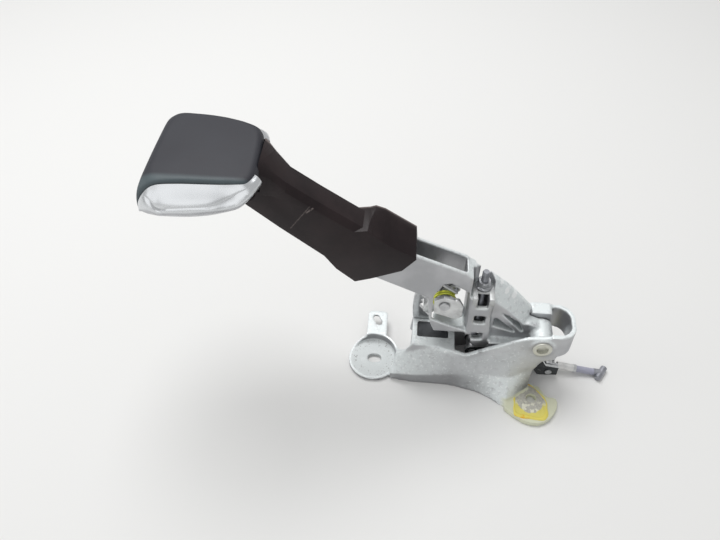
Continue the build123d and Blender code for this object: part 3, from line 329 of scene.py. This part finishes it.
def shell(rings):
    """Points of a closed skin through rings of points, and its faces: an array for its quads and one for
    each of the two end caps, all facing outward."""
    rings = np.asarray(rings, float)
    count, around = rings.shape[:2]
    index = np.arange(count * around).reshape(count, around)
    here, there = index[:-1], index[1:]
    quads = np.stack([here, np.roll(here, -1, 1), np.roll(there, -1, 1), there], -1).reshape(-1, 4)
    points = rings.reshape(-1, 3)
    volume = six_volumes(points, quads)
    caps = [index[0][::-1], index[-1]]
    for cap in caps:
        corner = points[cap[0]]
        volume += corner @ np.cross(points[cap[1:-1]] - corner, points[cap[2:]] - corner).sum(0)
    faces = [quads, caps[0][None], caps[1][None]]
    return points, (faces if volume > 0 else [like_faces[:, ::-1] for like_faces in faces])


def ring_shell(rings):
    """A closed skin through rings that come back to the first one, as on a hoop; no caps."""
    rings = np.asarray(rings, float)
    count, around = rings.shape[:2]
    index = np.arange(count * around).reshape(count, around)
    there = np.roll(index, -1, 0)
    quads = np.stack([index, np.roll(index, -1, 1), np.roll(there, -1, 1), there], -1).reshape(-1, 4)
    points = rings.reshape(-1, 3)
    return points, [quads if six_volumes(points, quads) > 0 else quads[:, ::-1]]


def as_mesh(name, *shells):
    """One mesh of several closed skins, given in millimetres."""
    points, faces, start = [], [], 0
    for shell_points, shell_faces in shells:
        points.append(shell_points * mm)
        for like_faces in shell_faces:
            faces += (like_faces + start).tolist()
        start += len(shell_points)
    mesh = bpy.data.meshes.new(name)
    mesh.from_pydata(np.concatenate(points).tolist(), [], faces)
    mesh.update()
    return mesh


def through(points, samples, closed=False):
    """A smooth curve through the given rows of numbers, each gap filled by the cubic that leaves and
    meets its two points in the direction of their neighbours (Catmull-Rom)."""
    rows = np.asarray(points, float)
    gaps = len(rows) if closed else len(rows) - 1
    t = np.linspace(0, gaps, gaps * samples + (not closed), endpoint=not closed)
    start = np.minimum(t.astype(int), gaps - 1)
    f = (t - start).reshape((-1,) + (1,) * (rows.ndim - 1))
    steps = [start - 1, start, start + 1, start + 2]
    if closed:
        a, b, c, d = (rows[step % len(rows)] for step in steps)
    else:
        a, b, c, d = (rows[np.clip(step, 0, len(rows) - 1)] for step in steps)
    return b + 0.5 * f * (c - a + f * (2 * a - 5 * b + 4 * c - d + f * (3 * (b - c) + d - a)))


def patch_shell(outline, middle, inner_radius, low, heights):
    """A thin closed plate between an outline and a round hole: its top height is a function of the turn
    and of the share of the way from the hole to the outline."""
    share = np.linspace(0, 1, heights.shape[1])[None, :, None]
    around = outline - middle
    hole = around / np.linalg.norm(around, axis=1, keepdims=True) * inner_radius
    plan = middle + hole[:, None, :] * (1 - share) + around[:, None, :] * share
    top = np.concatenate([plan, heights[:, :, None]], 2)
    under = np.concatenate([plan[:, ::-1], np.full(heights.shape + (1,), low)], 2)
    return ring_shell(np.concatenate([top, under], 1))


# The bolt hole, the patch's height, the middle of its bare oval, and the line that the bead follows.
hole_place, hole_edge, patch_height = np.array([0.0, -36.0]), 4.7, 0.22
oval_middle = (-1.5, -37.5)
bead_line = through([
    (-4.5, -21.6), (-8.4, -24.6), (-12.6, -30), (-14.7, -35.5), (-15.1, -42), (-15.7, -48), (-14.9, -53),
    (-11, -54.9), (-5.5, -55.4), (0.5, -56), (6.2, -56.6), (10.4, -54.6), (12.6, -50.4), (13.3, -45),
    (12.9, -39), (10.8, -34.2), (8.0, -30.6), (4.5, -26.6), (0.4, -23),
], 8, closed=True)
bead_turn = np.linspace(0, 2 * pi, len(bead_line), endpoint=False)


def rough_top(around, share):
    """Heights of the bare patch: two crossed sine waves of the turn and of the share of the way from the hole
    to the outline, times the root of a half sine of that share, so that they die out at both."""
    waves = 0.12 * np.sin(9 * around + 14 * share) + 0.10 * np.sin(23 * around - 31 * share)
    return foot_top + patch_height + waves * np.sin(pi * share) ** 0.5


bare = Finish("bare_rough_patch")
grit = bare.noise(2.0, 2, 0.6)
lumps = bare.noise(3.6, 1, 0.5)
oval_x, oval_y = (bare.axis(k) - oval_middle[k] * mm for k in (X, Y))
oval = oval_x * oval_x + oval_y * oval_y * 0.72 + (lumps - 0.5) * 60 * mm * mm
pooled = oval.between((11.2 * mm) ** 2, (12.4 * mm) ** 2) * bare.past(Y, -39, -45)
crust = bare.mix(grit.between(0.3, 0.7), (0.44, 0.43, 0.38), (0.56, 0.55, 0.49))
chunks = lumps.between(0.52, 0.62) * bare.past(Y, -36, -44)
crust = bare.mix(chunks * 0.9, crust, (0.82, 0.81, 0.68))
crust = bare.mix(pooled, crust, (0.74, 0.66, 0.15))
bare.surface({
    "Base Color": crust,
    "Metallic": 0.2 - pooled * 0.2,
    "Roughness": 0.5 + grit * 0.25 - pooled * 0.15,
    "Normal": bare.relief(grit + lumps, 0.08),
})
patch_top = rough_top(bead_turn[:, None], np.linspace(0, 1, 16))
patch = patch_shell(bead_line, hole_place, hole_edge, foot_top - 0.1, patch_top)
show("foot_bare_patch", as_mesh("foot_bare_patch", patch), "base", bare.material)


def bead_rings(line, around):
    """A bead along a closed line, oval across: half its width and its rise are each a constant, plus a part
    that comes in from y = -45 to y = -52, plus small sine waves of the turn."""
    across = np.linspace(0, 2 * pi, 12, endpoint=False)
    lower = np.clip((-45 - line[:, 1]) / 7, 0, 1)
    half = 0.6 + 1.3 * lower + 0.25 * np.sin(5 * around + 2) + 0.2 * np.sin(13 * around)
    rise = 0.45 + 0.45 * lower + 0.12 * np.sin(7 * around + 1)
    spread = half[:, None] * np.cos(across)
    outward = (line - hole_place) / np.linalg.norm(line - hole_place, axis=1, keepdims=True)
    plan = line[:, None, :] + spread[:, :, None] * outward[:, None, :]
    height = foot_top + 0.1 + rise[:, None] * np.sin(across)
    return np.concatenate([plan, height[:, :, None]], 2)


sealant = Finish("yellow_sealant")
cloud = sealant.noise(5, 3)
upper_side = sealant.past(Y, -27, -23)
lower_left = sealant.past(X, -2, -5) * sealant.past(Y, -50, -53)
amber = (upper_side + lower_left) * cloud.between(0.62, 0.40)
sealant.surface({
    "Base Color": sealant.mix(amber, (0.76, 0.66, 0.13), (0.78, 0.45, 0.02)),
    "Roughness": 0.42 + cloud * 0.2,
    "Normal": sealant.relief(sealant.noise(1.2, 2), 0.15),
})
bead = as_mesh("foot_sealant_ring", ring_shell(bead_rings(bead_line, bead_turn)))
show("foot_sealant_ring", bead, "base", sealant.material)


# Ratchet sector and pivot pin
# Pressed and turned steel, zinc plated: a soft grey sheen, finely scratched and duller in patches.
# The sector is riveted to a pad of the bracket, and the pivot pin is headed over in the bracket's walls.
# A small bevel breaks the sector's edges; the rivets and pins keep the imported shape.
def plated(name, colour, rough=0.30):
    """Zinc plate of one colour, a fifth duller in patches, with fine scratches that lie level."""
    made = Finish(name)
    scratch = made.noise(3, 3, 0.6, stretch=(1, 1, 6))
    dull = tuple(0.78 * c for c in colour)
    return made.surface({
        "Base Color": made.mix(made.noise(7, 2).between(0.35, 0.7), colour, dull),
        "Metallic": 1.0,
        "Roughness": rough + scratch * 0.16,
        "Normal": made.relief(scratch + made.noise(0.6, 2), 0.03),
    })


def painted_over(node, finish):
    """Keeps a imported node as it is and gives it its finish."""
    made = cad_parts[node]
    made.data.materials.clear()
    made.data.materials.append(finish)


def softened(node, body, finish, width=0.25, sharp=30):
    """Shows the node's solid with its sharp corners broken by a small bevel."""
    mesh = loose_solid(node)
    grid = bmesh.new()
    grid.from_mesh(mesh)
    bmesh.ops.dissolve_limit(grid, angle_limit=radians(1), verts=grid.verts, edges=grid.edges)
    grid.to_mesh(mesh)
    grid.free()
    bevel = {"width": width * mm, "segments": 2, "limit_method": "ANGLE", "angle_limit": radians(35),
             "use_clamp_overlap": True}
    show(node + "_part", shaped(mesh, [("BEVEL", bevel)]), body, finish, [node], sharp)


steel = plated("zinc_plated_steel", (0.64, 0.65, 0.66))
painted_over("sector_rivets", steel)
pin_finish = Finish("pivot_pin_zinc")
pin_finish.surface({
    "Base Color": pin_finish.mix(pin_finish.noise(2.5, 3), (0.58, 0.58, 0.51), (0.70, 0.70, 0.64)),
    "Metallic": 0.55,
    "Roughness": 0.33 + pin_finish.noise(1, 2) * 0.15,
})
painted_over("pivot_pin", pin_finish.material)
softened("ratchet_sector", "base", steel, 0.3)


# Bump stop and warning switch
# A moulded rubber stop on the flat, and a black moulded contact housing let into the window beside it.
# The lever rests on the stop and holds the plunger down.
rubber = Finish("stop_rubber")
rubber.surface({
    "Base Color": rubber.mix(rubber.noise(4, 3), (0.022, 0.022, 0.023), (0.05, 0.05, 0.05)),
    "Roughness": 0.75,
    "Normal": rubber.relief(rubber.noise(0.7, 2), 0.06),
})
painted_over("bump_stop", rubber.material)
moulding = Finish("switch_moulding")
dusty = moulding.noise(8, 3).between(0.3, 0.7)
moulding.surface({
    "Base Color": moulding.mix(dusty, (0.035, 0.038, 0.042), (0.075, 0.08, 0.088)),
    "Roughness": 0.55 + moulding.noise(2, 2) * 0.15,
    "Normal": moulding.relief(moulding.noise(0.5, 2), 0.03),
})
for node in ("switch_housing", "switch_plunger"):
    painted_over(node, moulding.material)
for node in ("switch_blades", "switch_spring"):
    painted_over(node, steel)

# Lever arm
# A second aluminium casting, left as cast like the bracket: a box arm open on top, with windows, the
# take-up column and the hub, which turns on the pivot pin in two polymer bushes.
show("arm_casting", casting("lever_arm", 0.95), "lever", cast.material, ["lever_arm"])
bush = Finish("bush_polymer")
bush.surface({
    "Base Color": bush.mix(bush.noise(3), (0.16, 0.15, 0.13), (0.22, 0.21, 0.18)),
    "Roughness": 0.6,
})
painted_over("hub_bushes", bush.material)

# Cable take-up
# A threaded steel stud through the column, its flanged nut on a bright folded saddle, and below it the
# crank, folded from sheet steel with bright cut edges, which the stud lifts and which pulls the cable.
# The crank's broad faces are painted near black, greasy steel darkened further by painted shade.
saddle_steel = plated("saddle_steel", (0.56, 0.57, 0.57), 0.44)
stud_steel = plated("stud_steel", (0.34, 0.35, 0.38), 0.30)
nut_steel = plated("nut_steel", (0.50, 0.51, 0.53), 0.26)
softened("adjuster_saddle", "lever", saddle_steel, 0.3)
# The stud's line and its sizes, then the nut's; the thread starts just inside the stud's hexagon head.
stud_x, stud_radius, thread_pitch, thread_depth = -55, 3.0, 1.0, 0.55
head_height, thread_start = 4.0, 3.9
flange_radius, flange_height, across_flats = 7.0, 1.8, 10.0


def about_stud(distance, around, heights):
    """Points at a distance from the stud's line, a turn round it and a height."""
    return np.stack([stud_x + distance * np.cos(around), distance * np.sin(around), heights + 0 * around], -1)


def threaded_stud(low, high):
    """Distance from the stud's line as a function of turn and height: a triangle wave of the thread's depth
    that climbs one pitch a turn, run out to nothing over the last pitch at each end."""
    around = np.linspace(0, 2 * pi, 24, endpoint=False)
    heights = np.linspace(low, high, int((high - low) / thread_pitch * 8) + 1)[:, None]
    phase = (heights / thread_pitch - around / (2 * pi)) % 1.0
    fade = np.clip(np.minimum(heights - low, high - heights) / thread_pitch, 0, 1)
    distance = stud_radius - thread_depth * (fade * np.abs(2 * phase - 1) + (1 - fade))
    return about_stud(distance, around, heights)


def hexagon_head(low):
    """Four hexagons above one another, the outer two smaller, so that the head's edges are broken."""
    around = np.linspace(0, 2 * pi, 6, endpoint=False)[None, :]
    size = np.array([4.9, 5.6, 5.6, 4.9])[:, None]
    level = np.array([0.0, 0.5, head_height - 0.5, head_height])[:, None]
    return about_stud(size, around, level + low)


def flanged_nut(low, height):
    """Distance from the stud's line as a function of turn, ring by ring: a flange whose edge is a cosine wave
    of 36 teeth, then a hexagon (half its flats over the cosine of the turn from the nearest flat's middle)
    with its corners cut by circles, then the bore."""
    around = np.linspace(0, 2 * pi, 144, endpoint=False)
    serrated = flange_radius - 0.35 + 0.35 * np.cos(36 * around)
    hexagonal = across_flats / 2 / np.cos((around + pi / 6) % (pi / 3) - pi / 6)
    rings = [
        (serrated - 0.5, 0.0), (serrated, 0.3), (serrated, flange_height - 0.5),
        (np.minimum(serrated, flange_radius - 0.8), flange_height),
        (np.minimum(hexagonal + 0.4, 6.2), flange_height + 0.1), (hexagonal, flange_height + 0.7),
        (hexagonal, height - 0.9), (np.minimum(hexagonal, 5.1), height - 0.25),
        (np.minimum(hexagonal, 4.7), height), (3.25, height), (3.05, height - 0.3),
    ]
    return np.array([about_stud(distance, around, low + level) for distance, level in rings])


stud_low, stud_high = (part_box("adjuster_stud")[k][Z] / mm for k in (0, 1))
thread = shell(threaded_stud(stud_low + thread_start, stud_high))
stud = as_mesh("take_up_stud", thread, shell(hexagon_head(stud_low)))
show("take_up_stud", stud, "stud", stud_steel, ["adjuster_stud"])
nut_low, nut_high = (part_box("adjuster_nut")[k][Z] / mm for k in (0, 1))
nut = as_mesh("take_up_nut", shell(flanged_nut(nut_low, nut_high - nut_low)))
show("take_up_nut", nut, "nut", nut_steel, ["adjuster_nut"], 30)
# On the crank the near black of the broad faces is partly grease and partly painted shade; its edge faces
# stay bright bare steel. The screws that share it are black steel.
black_steel = Finish("black_steel")
scuff = black_steel.noise(5, 4, 0.7).between(0.62, 0.72)
sideways = black_steel.facing(Y)
cut_edge = (sideways * sideways).between(0.6, 0.3)
black_steel.surface({
    "Base Color": black_steel.mix(scuff * 0.35 + cut_edge * 0.85, (0.03, 0.034, 0.038), (0.80, 0.82, 0.82)),
    "Metallic": 0.3 + cut_edge * 0.5,
    "Roughness": 0.38,
    "Normal": black_steel.relief(black_steel.noise(0.8, 2), 0.03),
})
softened("cable_crank", "crank", black_steel.material, 0.25)
for node in ("crank_pin", "crank_trunnion", "clevis_pin"):
    painted_over(node, steel)

# Cable end
# A short round steel rod with its crimped ferrule, a thin collar, a blue-grey plastic sleeve and a
# cross bar. It hangs by its eye on the crank's clevis pin.
for node in ("cable_rod", "cable_collar"):
    painted_over(node, steel)
for node, colour in (("cable_ferrule", (0.80, 0.80, 0.79)), ("cable_tee", (0.42, 0.43, 0.47))):
    painted_over(node, plated(node + "_metal", colour, 0.38))
sleeving = Finish("cable_sleeving")
sleeving.surface({
    "Base Color": sleeving.mix(sleeving.noise(5, 3), (0.28, 0.29, 0.38), (0.42, 0.42, 0.50)),
    "Roughness": 0.4,
    "Normal": sleeving.relief(sleeving.noise(1, 2), 0.04),
})
painted_over("cable_sheath", sleeving.material)

# Pawl and its spring
# A thick bright steel pawl on a pin behind the arm's front window, held to the sector's teeth by a
# spring wound of wire with a yellow passivated coat.
softened("ratchet_pawl", "pawl", plated("bright_steel", (0.74, 0.75, 0.75), 0.36), 0.4)
painted_over("pawl_pin", steel)
passivated = Finish("yellow_passivated")
passivated.surface({
    "Base Color": passivated.mix(passivated.noise(3, 3), (0.86, 0.88, 0.09), (0.70, 0.78, 0.12)),
    "Metallic": 0.45,
    "Roughness": 0.35,
})
painted_over("pawl_spring", passivated.material)

# Release linkage
# A long rod with two hooked ends inside the arm, and the rocker that pulls it, both zinc plated steel.
# Hardly anything of them is seen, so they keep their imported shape.
for node in ("pull_rod", "release_rocker", "rocker_pin"):
    painted_over(node, steel)

# Sleeve
# Near-black moulding that slides over the arm, flared at the grip, and held by two screws on the far
# side. Its sheen is hazy in patches, with two short pale scuffs, and its far edge is painted lighter as a
# painted highlight.
def stroke(finish, start, end, width_mm):
    """1 on a straight pale line seen from the side, given by the x and z of its two ends in millimetres."""
    run = np.subtract(end, start) * mm
    length = float(np.hypot(*run))
    ux, uz = run / length
    x, z = finish.axis(X) - start[0] * mm, finish.axis(Z) - start[1] * mm
    along, across = x * ux + z * uz, z * ux - x * uz
    inside = along.between(-0.5 * mm, 2 * mm) * along.between(length + 0.5 * mm, length - 2 * mm)
    return inside * (across * across).between((width_mm * mm) ** 2, 0)


# The ends of the two scuffs, each as x and z.
scuff_long = ((-207.8, 176.4), (-191.0, 201.0))
scuff_short = ((-195.0, 193.5), (-187.1, 200.7))
plastic = Finish("black_moulding")
grain = plastic.noise(0.8, 3, 0.6)
haze = plastic.noise(26, 3, 0.6)
side_facing = plastic.past(Y, -12.8, -13.3)
scuffed = (stroke(plastic, *scuff_long, 0.7) * 0.5 + stroke(plastic, *scuff_short, 0.9)) * side_facing
scuffed = scuffed * plastic.noise(1.5, 3, 0.7).between(0.35, 0.6)
dark = plastic.mix(haze.between(0.35, 0.7), (0.012, 0.007, 0.008), (0.021, 0.013, 0.014))
# Painted highlight: the far edge's upward faces are painted lighter.
painted_far_edge_highlight = plastic.past(Y, 11.4, 12.8) * plastic.facing(Z).between(0.25, 0.6)
plastic.surface({
    "Base Color": plastic.mix(scuffed * 0.8 + painted_far_edge_highlight * 0.5, dark, (0.24, 0.20, 0.19)),
    "Roughness": 0.36 + haze * 0.12 + grain * 0.06 + scuffed * 0.2,
    "Normal": plastic.relief(grain, 0.05),
    "Specular IOR Level": 0.26,
})
softened("lever_sleeve", "lever", plastic.material, 0.7, 50)
painted_over("sleeve_screws", black_steel.material)

# Grip core, underside and button
# The same black plastic as the sleeve. Four screws draw the underside up against the core, and the
# button sits under the front edge.
for node in ("release_button", "grip_core", "grip_underside"):
    painted_over(node, plastic.material)
painted_over("grip_screws", black_steel.material)

# Grip pad
# A soft-touch moulded cover on the grip's core, with a crowned top, a rounded edge and a lip that wraps
# down over the front. Rows from the sleeve round to the front: x and y of the shoulder, then x, y and z
# of the lower edge.
near_edge = [
    ((-231, 0), (-224.3, 0, 230.5)), ((-230.6, -9), (-223.9, -10, 230.5)),
    ((-230.6, -17), (-223.9, -18, 231.5)), ((-231.5, -23), (-224.6, -24.5, 234)),
    ((-234.5, -27), (-226.9, -30.5, 236)),
    ((-240, -29.8), (-231, -34.4, 236.5)), ((-248, -31), (-241.5, -35.6, 236.5)),
    ((-258, -31.8), (-255, -36.4, 236.5)), ((-269, -32.3), (-268.7, -36.9, 236.5)),
    ((-279, -32.5), (-280, -37.8, 236.5)), ((-286, -31.5), (-288.7, -39, 236.1)),
    ((-290, -28.5), (-294.4, -40.2, 233.6)), ((-292, -24.5), (-298.4, -40.8, 229.8)),
    ((-292.8, -20.5), (-301.6, -41, 225.2)), ((-293.2, -17), (-304.1, -40.8, 220.4)),
    ((-293.3, -14.6), (-305.4, -40.4, 214.4)), ((-293.4, -10), (-305.8, -34, 215)),
    ((-293.5, -5), (-305.4, -14, 218)), ((-293.5, 0), (-305.4, 0, 218)),
]
far_edge = [
    ((-231.4, 8), (-225.2, 9, 230.5)), ((-232.2, 14), (-226.4, 16, 231.5)),
    ((-234, 18.5), (-228.4, 21.5, 234)), ((-238, 22.6), (-232.4, 27, 236)),
    ((-244.5, 26.4), (-241.4, 31.6, 236.5)), ((-251.5, 29.4), (-249.5, 34.3, 236.5)),
    ((-260, 31.6), (-258, 36.5, 236.5)), ((-270, 33), (-270, 38.4, 236.5)),
    ((-279, 33.3), (-281, 39.2, 236.5)), ((-286, 32.2), (-288.6, 39.8, 236.2)),
    ((-290, 29), (-294.2, 40.2, 233.8)), ((-292, 24.5), (-298, 40.2, 230)),
    ((-292.8, 20.5), (-301, 40, 225.8)), ((-293.2, 17), (-303.2, 39.2, 221.2)),
    ((-293.3, 14), (-304.4, 36.6, 218.6)), ((-293.4, 10), (-304.9, 28, 218.2)),
    ((-293.5, 5), (-305.2, 14, 218)),
]
pad_middle = np.array([-261.0, 0.0])
pad_top, pad_under, pad_crown, pad_fullness = 241.0, 231.0, 1.4, 0.87


def pad_rings(near, far):
    """Rings from the middle of the top to the underside. Up to the shoulder the outline grows from a point
    while the height falls with the square of its size. From the shoulder to the lower edge each section is
    a quarter of a full ellipse: reach = sin(a)^k and height = cos(a)^k, with k a little under 1. Then the
    edge turns in by 2 and 3.5 mm, and the underside is flat."""
    rows = through([(*shoulder, *foot) for shoulder, foot in near + far[::-1]], 6, closed=True)
    shoulder, foot, foot_z = rows[:, :2], rows[:, 2:4], rows[:, 4]
    corner_z = pad_top - pad_crown
    grown = np.linspace(0.02, 1, 14)[:, None]
    flat = pad_middle + (shoulder - pad_middle) * grown[:, :, None]
    flat_z = pad_top - pad_crown * grown ** 2 + 0 * foot_z
    angle = np.linspace(0, pi / 2, 17)[1:, None]
    reach, drop = np.sin(angle) ** pad_fullness, np.clip(np.cos(angle), 0, 1) ** pad_fullness
    curved = shoulder + (foot - shoulder) * reach[:, :, None]
    curved_z = foot_z + (corner_z - foot_z) * drop
    inward = (pad_middle - foot) / np.linalg.norm(foot - pad_middle, axis=1, keepdims=True)
    lips = np.stack([foot + 2.0 * inward, foot + 3.5 * inward, pad_middle + (foot - pad_middle) * 0.1])
    lips_z = np.stack([foot_z + 0.2, np.maximum(foot_z - 4, pad_under), 0 * foot_z + pad_under])
    plan = np.concatenate([flat, curved, lips])
    return np.concatenate([plan, np.concatenate([flat_z, curved_z, lips_z])[:, :, None]], 2)


soft_touch = Finish("soft_touch")
pores = soft_touch.noise(0.7, 3, 0.6)
# Painted highlight: the near side of the pad is painted a lighter teal and made glossier, in patches.
painted_near_side_highlight = soft_touch.past(Y, -30, -35) * (soft_touch.noise(14, 3) * 0.5 + 0.6)
blue_black = soft_touch.mix(soft_touch.noise(30, 2), (0.018, 0.018, 0.025), (0.024, 0.026, 0.035))
soft_touch.surface({
    "Base Color": soft_touch.mix(painted_near_side_highlight, blue_black, (0.070, 0.096, 0.106)),
    "Roughness": 0.55 + pores * 0.12 - painted_near_side_highlight * 0.12,
    "Normal": soft_touch.relief(pores, 0.08),
})
pad = as_mesh("pad_cover", shell(pad_rings(near_edge, far_edge)))
show("pad_cover", pad, "lever", soft_touch.material, ["grip_pad"], 60)

# Side trims
# Two satin-chromed mouldings along the grip. Each has a bevelled upper face, a crisp crease, a belly
# tucked under, and a tail that climbs beside the sleeve. Rows from front to tail: x, y and z of the pad's
# edge, the crease, the belly and the foot.
near_stations = [
    [(-305.2, -41.2, 214.6), (-305, -41.6, 214.2), (-304.1, -42, 213.2), (-302, -38.8, 211.8)],
    [(-304, -41.6, 220.4), (-303.7, -42.4, 219.2), (-302.5, -43.8, 215.4), (-299.5, -40.2, 211.4)],
    [(-301.7, -41.6, 225.2), (-301.3, -42.6, 224), (-299.6, -45, 216.4), (-296, -41.6, 210.8)],
    [(-298.5, -41.4, 229.8), (-297.9, -42.6, 228), (-296.2, -46, 218), (-292.6, -42.3, 210.7)],
    [(-294.5, -40.8, 233.7), (-293.9, -43.8, 225.4), (-292.9, -46.5, 217), (-290.2, -42.6, 210.6)],
    [(-290.2, -39.9, 235.8), (-289.2, -45.4, 219.4), (-289.2, -46.7, 215.8), (-287, -42.7, 210.6)],
    [(-284, -38.9, 236.5), (-282, -46, 220.9), (-282.5, -46.7, 216.4), (-282, -42.8, 210.8)],
    [(-271, -37.7, 236.6), (-269, -45.6, 222.2), (-270, -46.4, 217), (-270, -42.6, 211.3)],
    [(-257, -37.1, 236.6), (-253, -43.8, 223.3), (-254, -45, 219), (-256, -41.5, 212.8)],
    [(-245, -36.4, 236.6), (-241.5, -40, 226.7), (-242.5, -43, 220.4), (-245, -39, 214.5)],
    [(-236.5, -35.6, 236.7), (-234.8, -38, 231), (-233.4, -41.4, 223), (-236, -36, 217.6)],
    [(-229.8, -34.6, 237), (-227.6, -35.8, 234.4), (-225.4, -36.9, 229), (-229, -31.5, 222)],
    [(-226.2, -30.8, 237.8), (-223.7, -32, 236.4), (-221.4, -31.9, 231.5), (-225, -28, 226)],
    [(-224.5, -26, 238.1), (-222.1, -27, 236.9), (-220.2, -27.5, 232.4), (-223.7, -24.5, 227.5)],
]
far_stations = [
    [(-304.5, 38.6, 218.7), (-304.4, 39.2, 218.1), (-303.6, 40.4, 216.2), (-301.3, 37.4, 212.9)],
    [(-303.3, 40, 221.4), (-303.1, 40.8, 220.3), (-301.9, 42.6, 216.3), (-298.8, 39.3, 212)],
    [(-301.1, 40.6, 225.9), (-300.7, 41.5, 224.7), (-299, 44.3, 216.8), (-295.4, 41.2, 211)],
    [(-298.1, 40.9, 230.1), (-297.5, 41.9, 228.5), (-295.7, 45.7, 218.3), (-292.3, 42.1, 210.8)],
    [(-294.3, 40.8, 233.9), (-293.7, 43.6, 226), (-292.6, 46.3, 217.2), (-290, 42.5, 210.6)],
    [(-290.1, 40.4, 236), (-289.1, 45.3, 219.7), (-289.1, 46.5, 216), (-287, 42.6, 210.6)],
    [(-284, 40.1, 236.4), (-282, 45.9, 221), (-282.5, 46.6, 216.4), (-282, 42.8, 210.8)],
    [(-271, 39.1, 236.6), (-269.5, 45, 222.2), (-270.2, 45.8, 217), (-270, 42, 211.3)],
    [(-258, 37.1, 236.6), (-255, 42, 223.5), (-255.8, 43.2, 219), (-257, 39.5, 212.8)],
    [(-246, 33.8, 236.6), (-243.2, 37, 226.7), (-244, 39.4, 220.4), (-246, 35.4, 214.5)],
    [(-237.8, 30.6, 236.5), (-235.6, 33, 230.6), (-234.6, 35.8, 223.6), (-237, 31.4, 218)],
    [(-232, 27.4, 236.1), (-229.8, 29.6, 233), (-227.6, 31.4, 227.4), (-230.6, 27.4, 222)],
    [(-228.3, 22.2, 235), (-226.4, 24.2, 233), (-224.8, 26, 228.4), (-227.8, 22.8, 223.8)],
    [(-227, 18.6, 233.8), (-225, 20.4, 231.9), (-223.7, 22, 228.4), (-226.5, 19.6, 224.6)],
]


grip_middle = np.array([-262.0, 0, 0])
turn_over = 0.07 * 9.5


def trim_rings(stations):
    """Sections along the trim. The face runs straight from the pad edge to the crease and bulges outward
    near the crease, by u^3 (1 - u) times turn_over times its width, with u from 0 to 1 across it. A parabola
    goes on from the crease through the belly to the foot, and the inside lies 1.4 to 2.5 mm further in."""
    pad_side, crease, belly, foot = np.moveaxis(through(stations, 7), 1, 0)
    inward = grip_middle - pad_side
    inward[:, 2] = 0
    inward /= np.linalg.norm(inward, axis=1, keepdims=True)
    u = np.linspace(0, 1, 12)[None, :, None]
    width = np.linalg.norm(crease - pad_side, axis=1)[:, None, None]
    bulge = turn_over * width * u ** 3 * (1 - u)
    face = pad_side[:, None] * (1 - u) + crease[:, None] * u - bulge * inward[:, None]
    pull = 2 * belly - (crease + foot) / 2
    v = np.linspace(0, 1, 10)[None, 1:, None]
    curl = crease[:, None] * (1 - v) ** 2 + 2 * pull[:, None] * v * (1 - v) + foot[:, None] * v * v
    inner_foot = foot + 2.5 * inward + (0, 0, 1.0)
    inner_edge = pad_side + 1.4 * inward - (0, 0, 3.2)
    lip = pad_side + 0.5 * inward - (0, 0, 0.9)
    return np.concatenate([face, curl, inner_foot[:, None], inner_edge[:, None], lip[:, None]], 1)


satin = Finish("satin_chrome")
# Painted shade: faces that turn downward, on the belly, are painted darker, in patches.
painted_belly_shade = satin.facing(Z).between(0.15, -0.25)
chrome = satin.mix(satin.noise(20, 2), (0.70, 0.72, 0.74), (0.76, 0.78, 0.80))
satin.surface({
    "Base Color": satin.mix(painted_belly_shade * (satin.noise(6, 3) * 0.4 + 0.5), chrome, (0.34, 0.34, 0.36)),
    "Metallic": 1.0,
    "Roughness": 0.25 + satin.noise(1.2, 3) * 0.05,
})
for name, stations in (("near", near_stations), ("far", far_stations)):
    trim = as_mesh("trim_" + name, shell(trim_rings(stations)))
    show("trim_" + name, trim, "lever", satin.material, ["grip_trim_" + name], 14)
